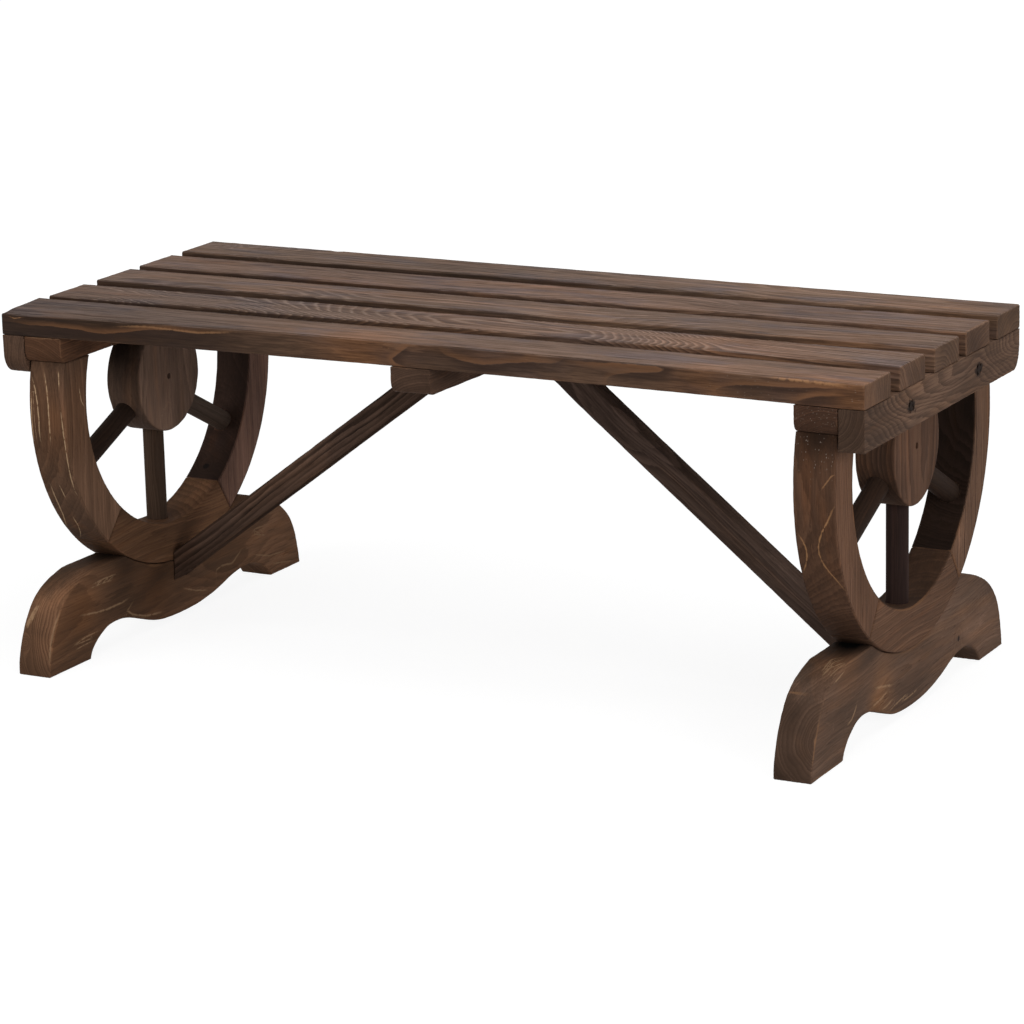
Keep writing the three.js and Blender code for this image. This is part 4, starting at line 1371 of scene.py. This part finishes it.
def screw_mesh(name, head, direction, length, settings):
    """A countersunk screw: a turned profile whose shank carries a thread as a spiral ridge, radius
    + height of the ridge where along / pitch + angle / turn is near a whole number, and whose head
    has a cross recess, sunk where the point lies near either arm."""
    shares = np.array([0.12, 0.26, 0.4, 0.52, 0.62, 0.8, 0.94])
    flat = [(SCREW_HEAD_RADIUS * share, 0.0) for share in shares]
    under = [(SCREW_HEAD_RADIUS, 0.12 * MM), (SCREW_SHANK_RADIUS * 0.86, SCREW_HEAD_HEIGHT)]
    core = SCREW_SHANK_RADIUS - settings.thread
    steps = int((length - SCREW_TIP - SCREW_HEAD_HEIGHT) / (SCREW_PITCH / 5))
    levels = np.linspace(SCREW_HEAD_HEIGHT + 0.4 * MM, length - SCREW_TIP, steps)
    shank = [(core, level) for level in levels]
    tip = [(core * share, length - SCREW_TIP * share) for share in (0.75, 0.5, 0.25)]
    profile = [(0.0, 0.0), *flat, *under, *shank, *tip, (0.0, length)]
    body, quads, caps = lathe(profile, 32, head, direction)
    height = (body - head) @ direction
    arm = body - head - height[:, None] * direction
    radius = np.linalg.norm(arm, axis=1)
    across, beyond = across_axis(direction)
    angle = np.arctan2(arm @ beyond, arm @ across)
    spiral = (height / SCREW_PITCH - angle / (2 * np.pi)) % 1
    ridge = np.clip(1 - np.abs(spiral - 0.5) / 0.3, 0, 1)
    threaded = (height > SCREW_HEAD_HEIGHT + 3 * MM) & (height < length - 1.5 * MM)
    fade = np.clip((length - height) / SCREW_TIP, 0, 1)
    grown = np.where(threaded, settings.thread * ridge * fade, 0)
    body = body + arm / np.maximum(radius, 1e-7)[:, None] * grown[:, None]
    off_arm = radius * np.sin(np.abs((angle + np.pi / 4) % (np.pi / 2) - np.pi / 4))
    inside = np.clip(1 - off_arm / (0.55 * MM), 0, 1) * np.clip((2.7 * MM - radius) / (0.7 * MM), 0, 1)
    inside = np.maximum(inside, np.clip((0.9 * MM - radius) / (0.3 * MM), 0, 1))
    sunk = np.where(height < 0.01 * MM, np.minimum(inside * 1.6, 1), 0)
    mesh = add_mesh(name, body + direction * (settings.recess * sunk)[:, None], quads, caps)
    # The screw's material paints shade into the recess by this share.
    set_attribute(mesh, "recess", sunk)
    return mesh


# Settings


def length_setting(label, description, default):
    """A length that the panel shows."""
    return bpy.props.FloatProperty(
        name=label, description=description, default=default, min=0.0, max=0.01, precision=5,
        unit="LENGTH",
    )


def number_setting(label, description, default, unit):
    """A number that the panel shows."""
    return bpy.props.FloatProperty(
        name=label, description=description, default=default, min=0.0, unit=unit
    )


def colour_setting(label, description, default):
    """A colour that the panel shows."""
    return bpy.props.FloatVectorProperty(
        name=label, description=description, default=default, size=4, min=0.0, max=1.0,
        subtype="COLOR",
    )


class BenchTimberSettings(bpy.types.PropertyGroup):
    """How the timber is weathered, and its colours."""

    hollow: length_setting("Hollow", "Depth of the slow hollows in the planed faces", 0.12 * MM)
    bite: length_setting("Bites", "Depth of the bites along the arrises", 1.2 * MM)
    nibble: length_setting("Nibbles", "Depth of the fine unevenness of the arrises", 0.1 * MM)
    raised: length_setting("Raised Grain", "How far the soft wood is brushed away between rings", 0.16 * MM)
    bow: length_setting("Seat Bow", "How far the seat's front springs up at its middle", 3 * MM)
    twist: length_setting("Seat Twist", "How far the seat's back stands up at its left end", 5.2 * MM)
    seat_colour: colour_setting("Seat", "Body colour of the slats", tint(112, 84, 66))
    rail_colour: colour_setting("Rails", "Body colour of the rails", tint(108, 82, 66))
    wheel_colour: colour_setting("Wheels", "Body colour of rims and hubs", tint(100, 73, 56))
    spoke_colour: colour_setting("Spokes", "Body colour of the spokes", tint(56, 42, 34))
    foot_colour: colour_setting("Feet", "Body colour of the feet", tint(98, 72, 57))
    brace_colour: colour_setting("Braces", "Body colour of the braces", tint(92, 70, 57))


class BenchScrewSettings(bpy.types.PropertyGroup):
    """The screws' drawn details."""

    recess: length_setting("Recess Depth", "Depth of the cross recess in a screw's head", 1.7 * MM)
    thread: length_setting("Thread Height", "How far the thread stands out of the shank", 0.55 * MM)
    colour: colour_setting("Steel", "Colour of the dulled zinc", tint(150, 146, 140))
    stained_colour: colour_setting("Stained", "Colour of the stained outer heads", tint(40, 33, 30))


class BenchStageSettings(bpy.types.PropertyGroup):
    """Camera, lamps and floor."""

    lens: number_setting("Lens", "Focal length that matches the photograph", CAMERA_LENS, "CAMERA")
    top_power: number_setting("Overhead Lamp", "Power of the overhead softbox", 52.0, "POWER")
    right_power: number_setting("Right Lamp", "Power of the softbox at the right end", 40.0, "POWER")
    left_power: number_setting("Left Lamp", "Power of the softbox at the left front", 30.0, "POWER")
    ambient: number_setting("Ambient", "Strength of the even light from all round", 0.14, "NONE")
    floor_colour: colour_setting("Floor", "Colour of the floor as the bench sees it", (0.42, 0.42, 0.42, 1.0))


# Operators


class BENCH_OT_slats(bpy.types.Operator):
    """Builds the five seat slats"""

    bl_idname = "bench.slats"
    bl_label = "Seat Slats"

    def execute(self, context):
        for index, sawn in enumerate(SLAT_GRAINS, 1):
            name = f"seat_slat_{index}"
            middle, half = centre_of(name)
            corners = half[:2] * [(-1, -1), (1, -1), (1, 1), (-1, 1)]
            stretches = [corners[[i, (i + 1) % 4]] for i in range(4)]
            shape = plank(stretches, half[2], (2.4 * MM, 1 * MM), (280, 48, 16), 1.6 * MM)
            screws = [f"slat_screw_{place}_{index}" for place in ("left", "centre", "right")]
            if index == 3:
                screws += [f"brace_head_screw_{end}" for end in SIDES]
            grain = Grain(X_AXIS, Y_AXIS, Z_AXIS, *sawn)
            timber(name, placed(shape, np.eye(3), middle), grain, "seat", pockets_of(*screws))
        return {"FINISHED"}


class BENCH_OT_outer_rails(bpy.types.Operator):
    """Builds the tall rail across each end of the seat"""

    bl_idname = "bench.outer_rails"
    bl_label = "Outer Rails"

    def execute(self, context):
        taper = (18 * MM, 26 * MM)
        for end, side in SIDES.items():
            name, right = f"outer_rail_{end}", side > 0
            height = 2 * centre_of(name)[1][2]
            stretches = rail_stretches(height, None if right else taper, taper if right else None)
            shape = board(name, stretches, 1.2 * MM, (170, 28, 16), 1 * MM, RAIL_TOP,
                          (right, not right, True, True))
            pith = (-0.03, 0.02) if right else (-0.1, -0.012)
            grain = side_grain(side, pith, 3, 2.5, 0.3, 71 + 5 * side)
            heads = [SCREWS[f"rail_screw_{place}_{end}"] for place in ("front", "back")]
            pockets = pockets_of(*slat_screws(end)) + [screw_pocket(*screw) for screw in heads]
            pockets += [torn_recess(head, way, seed) for seed, (head, way, _) in enumerate(heads, 2)]
            timber(name, shape, grain, "rail", pockets, [(head, HOLE_SHADE_RADIUS) for head, _, _ in heads])
        return {"FINISHED"}


class BENCH_OT_flat_rails(bpy.types.Operator):
    """Builds the flat rails that the wheels and braces carry"""

    bl_idname = "bench.flat_rails"
    bl_label = "Flat Rails"

    def execute(self, context):
        taper = (9 * MM, 14 * MM)
        seeds = {"centre_rail": 82, "inner_rail_left": 84, "inner_rail_right": 86}
        for name, seed in seeds.items():
            stretches = rail_stretches(2 * centre_of(name)[1][2], taper, taper)
            shape = board(name, stretches, 1.6 * MM, (170, 20, 24), 1.2 * MM, RAIL_TOP,
                          (False, False, True, True))
            place, _, end = name.partition("_rail_")
            screws = slat_screws("centre")
            if place == "inner":
                screws = [screw for screw in screws_of(end) if screw.startswith(("rail", "arm"))]
            # The centre rail's grain is laid like that of a right one
            grain = side_grain(SIDES.get(end, 1), (0.02, -0.06), 2.8, 6, 0.3, seed)
            timber(name, shape, grain, "rail", pockets_of(*screws))
        return {"FINISHED"}


class BENCH_OT_rims(bpy.types.Operator):
    """Builds the three pieces of each wheel's rim"""

    bl_idname = "bench.rims"
    bl_label = "Rims"

    def execute(self, context):
        gap = FIT / RIM_INNER
        heads = np.array([head_angle(RIM_RADIUS), head_angle(RIM_INNER)])
        for end, side in SIDES.items():
            front, back = math.radians(ENDS[end].front_joint), math.radians(ENDS[end].back_joint)
            # Start and end angles on the outer and the inner circle, the spoke, and the grain
            parts = {
                "front": (-heads, [-front - gap] * 2, "front", ((0.05, 0.11), 4, 4, 0.3, 101, True)),
                "bottom": ([-front] * 2, [back] * 2, "down", ((0.02, -0.12), 4, 5, 0.3, 111)),
                "back": ([back + gap] * 2, heads, "back", ((0.03, 0.15), 3.4, 3, 0.4, 121, True)),
            }
            for place, (starts, ends, spoke, (pith, ring, wander, stretch, seed, *stands)) in parts.items():
                name = f"rim_{place}_{end}"
                outside, inside = (
                    circle_arc(radius, *angles)
                    for radius, *angles in zip((RIM_RADIUS, RIM_INNER), starts, ends)
                )
                stretches = [
                    outside, np.array([outside[-1], inside[-1]]), inside[::-1],
                    np.array([inside[0], outside[0]]),
                ]
                shape = board(name, stretches, 1.8 * MM, (110, 26, 24), 0.8 * MM, WHEEL_CENTRE)
                screws = [f"arm_screw_{place}_{end}"]
                if place == "bottom":
                    screws = [f"foot_screw_front_{end}", f"foot_screw_back_{end}"]
                pockets = [*pockets_of(*screws), spoke_socket(f"spoke_{spoke}_{end}")]
                grain = side_grain(side, pith, ring, wander, stretch, seed + side, *stands)
                timber(name, shape, grain, "wheel", pockets)
        return {"FINISHED"}


class BENCH_OT_hubs(bpy.types.Operator):
    """Builds the hub of each wheel"""

    bl_idname = "bench.hubs"
    bl_label = "Hubs"

    def execute(self, context):
        for end, side in SIDES.items():
            name = f"hub_{end}"
            middle, half = centre_of(name)
            shape = hub_shape(half[0], 2 * MM, (260, 40, 22))
            shape = placed(shape, [Y_AXIS, Z_AXIS, X_AXIS], [middle[0], 0, WHEEL_CENTRE])
            grain = side_grain(side, (-0.11, 0.01), 4.5, 5, 0.3, 131 + side, True)
            pockets = [spoke_socket(f"spoke_{spoke}_{end}") for spoke in SPOKE_ANGLES]
            timber(name, shape, grain, "wheel", pockets)
        return {"FINISHED"}


class BENCH_OT_spokes(bpy.types.Operator):
    """Turns the three round spokes of each wheel"""

    bl_idname = "bench.spokes"
    bl_label = "Spokes"

    def execute(self, context):
        for end, side in SIDES.items():
            for index, spoke in enumerate(SPOKE_ANGLES):
                name = f"spoke_{spoke}_{end}"
                foot, way, length = spoke_line(name)
                axes = way, X_AXIS, np.cross(way, X_AXIS)
                grain = Grain(*axes, (0.03, 0.01), 3 * MM, 2 * MM, 0.2, 141 + 3 * index + side)
                timber(name, spoke_shape(foot, way, length), grain, "spoke")
        return {"FINISHED"}


class BENCH_OT_feet(bpy.types.Operator):
    """Builds the scrolled foot under each wheel"""

    bl_idname = "bench.feet"
    bl_label = "Feet"

    def execute(self, context):
        for end, side in SIDES.items():
            name = f"foot_{end}"
            shape = board(name, foot_stretches(ENDS[end].arch), 2.2 * MM, (240, 44, 22), 1.5 * MM,
                          arrises=(True, False, False, True))
            screws = [screw for screw in screws_of(end) if "foot" in screw]
            pith = (0.035, -0.01) if side > 0 else (-0.15, 0.01)
            grain = side_grain(side, pith, 4, 6, 0.25, 151 + side)
            timber(name, shape, grain, "foot", pockets_of(*screws))
        return {"FINISHED"}


class BENCH_OT_braces(bpy.types.Operator):
    """Builds the slanting brace from each foot to the middle of the seat"""

    bl_idname = "bench.braces"
    bl_label = "Braces"

    def execute(self, context):
        for end, side in SIDES.items():
            name, low_z = f"brace_{end}", ENDS[end].brace_low
            middle, half = centre_of(name)
            # p runs outwards from the centre rail, so both braces share one outline
            foot_p, head_p = side * middle[0] + half[0], side * middle[0] - half[0]
            head_z = SEAT_UNDERSIDE - ENDS[end].brace_drop
            slope = (low_z - head_z) / (foot_p - head_p)
            half_height = BRACE_DEPTH / 2 * math.hypot(1, slope)
            flat_p = head_p + (RAIL_TOP - head_z - half_height) / slope
            foot_low, foot_high = (foot_p, low_z - half_height), (foot_p, low_z + half_height)
            head_low, head_high = (head_p, head_z - half_height), (head_p, RAIL_TOP)
            stretches = [
                np.array([head_low, foot_low]), np.array([foot_low, foot_high]),
                np.array([foot_high, (flat_p, RAIL_TOP)]),
                np.array([(flat_p, RAIL_TOP), head_high, head_low]),
            ]
            shape = plank(stretches, half[1], (1.5 * MM,) * 2, (190, 26, 14), 1.2 * MM)
            shape = placed(shape, [side * X_AXIS, Z_AXIS, -Y_AXIS], [0, 0, 0])
            way = np.array([side * (foot_p - head_p), 0, low_z - head_z])
            way /= np.linalg.norm(way)
            axes = way, Y_AXIS, np.cross(way, Y_AXIS)
            grain = Grain(*axes, (0.03, -0.12), 5.4 * MM, 3 * MM, 0.5, 161 + side)
            screws = [f"brace_foot_screw_{end}", f"brace_head_screw_{end}"]
            timber(name, shape, grain, "brace", pockets_of(*screws))
        return {"FINISHED"}


class BENCH_OT_screws(bpy.types.Operator):
    """Builds the countersunk screws"""

    bl_idname = "bench.screws"
    bl_label = "Screws"

    def execute(self, context):
        settings = context.scene.bench_screws
        material = steel_material("dulled zinc", settings.colour, 0.9)
        stained = steel_material("stained zinc", settings.stained_colour, 0.25)
        for name, screw in SCREWS.items():
            mesh = screw_mesh(f"{name}_steel", *screw, settings)
            points = settled(mesh_points(mesh.vertices, "co"), context.scene.bench_timber)
            finished_mesh(mesh, points, 40, stained if name.startswith("rail_screw") else material)
            hand_in(link_piece(f"{name}_steel", mesh), name)
        return {"FINISHED"}


def shader(tree, kind, inputs):
    """The shader that a node gives."""
    return Wire(node(tree, kind, inputs).outputs[0])


def seen_ray(tree):
    """1 where a camera, glossy or transmission ray arrives, else 0."""
    path = node(tree, "ShaderNodeLightPath", {}).outputs
    camera, glossy, through = (Wire(path[f"Is {kind} Ray"]) for kind in ("Camera", "Glossy", "Transmission"))
    return maths("MAXIMUM", maths("MAXIMUM", camera, glossy), through)


def add_lamp(name, power, size, place, target=(0.0, 0.0, 0.25)):
    """A rectangular softbox that points at a target and isn't itself seen."""
    data = bpy.data.lights.new(name, "AREA")
    data.shape, data.energy, data.size, data.size_y = "RECTANGLE", power, *size
    lamp = link_piece(name, data)
    lamp.location = place
    lamp.rotation_euler = (Vector(place) - Vector(target)).to_track_quat("Z", "Y").to_euler()
    lamp.visible_camera = False


def floor_material(settings):
    """Floor that looks white but for a faint shadow, lights the bench as pale grey, and isn't seen
    from below."""
    made, tree = new_material("pale floor")
    lit = shader(tree, "ShaderNodeBsdfDiffuse", {"Color": settings.floor_colour})
    away = vector_maths("LENGTH", "Value", source(tree, "Object"))
    strength = away.step(0.9, 2.4, 0.9, 1.0)
    glow = shader(tree, "ShaderNodeEmission", {"Color": (1, 1, 1, 1), "Strength": strength})
    faint = shader(tree, "ShaderNodeBsdfDiffuse", {"Color": (0.2, 0.2, 0.2, 1)})
    seen = shader(tree, "ShaderNodeAddShader", {0: glow, 1: faint})
    either = shader(tree, "ShaderNodeMixShader", {0: seen_ray(tree), 1: lit, 2: seen})
    below = Wire(node(tree, "ShaderNodeNewGeometry", {}).outputs["Backfacing"])
    clear = shader(tree, "ShaderNodeBsdfTransparent", {})
    sided = shader(tree, "ShaderNodeMixShader", {0: below, 1: either, 2: clear})
    node(tree, "ShaderNodeOutputMaterial", {"Surface": sided})
    return made


class BENCH_OT_stage(bpy.types.Operator):
    """Sets up the camera, the floor, the lamps and the world"""

    bl_idname = "bench.stage"
    bl_label = "Stage"

    def execute(self, context):
        settings = context.scene.bench_stage
        data = bpy.data.cameras.new("photo camera")
        data.lens, data.sensor_width = settings.lens, 36.0
        data.clip_start, data.clip_end = 0.1, 100.0
        camera = link_piece("photo camera", data)
        right, down, forward = (Vector(row) for row in (CAMERA_RIGHT, CAMERA_DOWN, CAMERA_FORWARD))
        turn = Matrix([right, -down, -forward]).transposed()
        camera.matrix_world = Matrix.Translation(CAMERA_PLACE) @ turn.to_4x4()
        context.scene.camera = camera

        steps = np.linspace(-FLOOR_REACH, FLOOR_REACH, 9)
        x, y = np.meshgrid(steps, steps)
        points = np.stack([x, y, 0 * x], -1).reshape(-1, 3)
        floor = link_piece("floor", add_mesh("floor", points, quads_of(np.arange(x.size).reshape(x.shape))))
        floor.data.materials.append(floor_material(settings))

        world = bpy.data.worlds.new("pale studio")
        context.scene.world = world
        world.use_nodes = True
        tree = world.node_tree
        tree.nodes.clear()
        lit, seen = (
            shader(tree, "ShaderNodeBackground", {"Color": (1, 1, 1, 1), "Strength": strength})
            for strength in (settings.ambient, 1.0)
        )
        either = shader(tree, "ShaderNodeMixShader", {0: seen_ray(tree), 1: lit, 2: seen})
        node(tree, "ShaderNodeOutputWorld", {"Surface": either})

        add_lamp("overhead softbox", settings.top_power, (3.0, 2.0), (0.5, -0.3, 2.9))
        add_lamp("right softbox", settings.right_power, (2.0, 1.4), (2.9, -1.2, 0.95))
        add_lamp("left softbox", settings.left_power, (1.6, 1.6), (-1.6, -2.8, 1.4))
        context.scene.view_settings.view_transform = "Standard"
        return {"FINISHED"}


STEPS = (
    BENCH_OT_stage, BENCH_OT_slats, BENCH_OT_outer_rails, BENCH_OT_flat_rails, BENCH_OT_rims,
    BENCH_OT_hubs, BENCH_OT_spokes, BENCH_OT_feet, BENCH_OT_braces, BENCH_OT_screws,
)
SETTINGS = {
    "bench_timber": BenchTimberSettings,
    "bench_screws": BenchScrewSettings,
    "bench_stage": BenchStageSettings,
}


class BENCH_PT_panel(bpy.types.Panel):
    """Lists the bench's settings and steps"""

    bl_idname = "BENCH_PT_panel"
    bl_label = "Wagon Wheel Bench"
    bl_space_type = "VIEW_3D"
    bl_region_type = "UI"
    bl_category = "Bench"

    def draw(self, context):
        layout = self.layout
        for group in (getattr(context.scene, label) for label in SETTINGS):
            box = layout.box()
            for label in group.__annotations__:
                box.prop(group, label)
        for step in STEPS:
            layout.operator(step.bl_idname)


def register():
    """Registers the settings, the steps and the panel."""
    for kind in (*SETTINGS.values(), *STEPS, BENCH_PT_panel):
        bpy.utils.register_class(kind)
    for label, kind in SETTINGS.items():
        setattr(bpy.types.Scene, label, bpy.props.PointerProperty(type=kind))


def unregister():
    """Takes them all back."""
    for label in SETTINGS:
        delattr(bpy.types.Scene, label)
    for kind in reversed((*SETTINGS.values(), *STEPS, BENCH_PT_panel)):
        bpy.utils.unregister_class(kind)


def main():
    """Builds the bench step by step."""
    register()
    for step in STEPS:
        group, name = step.bl_idname.split(".")
        getattr(getattr(bpy.ops, group), name)()


if __name__ == "__main__":
    main()
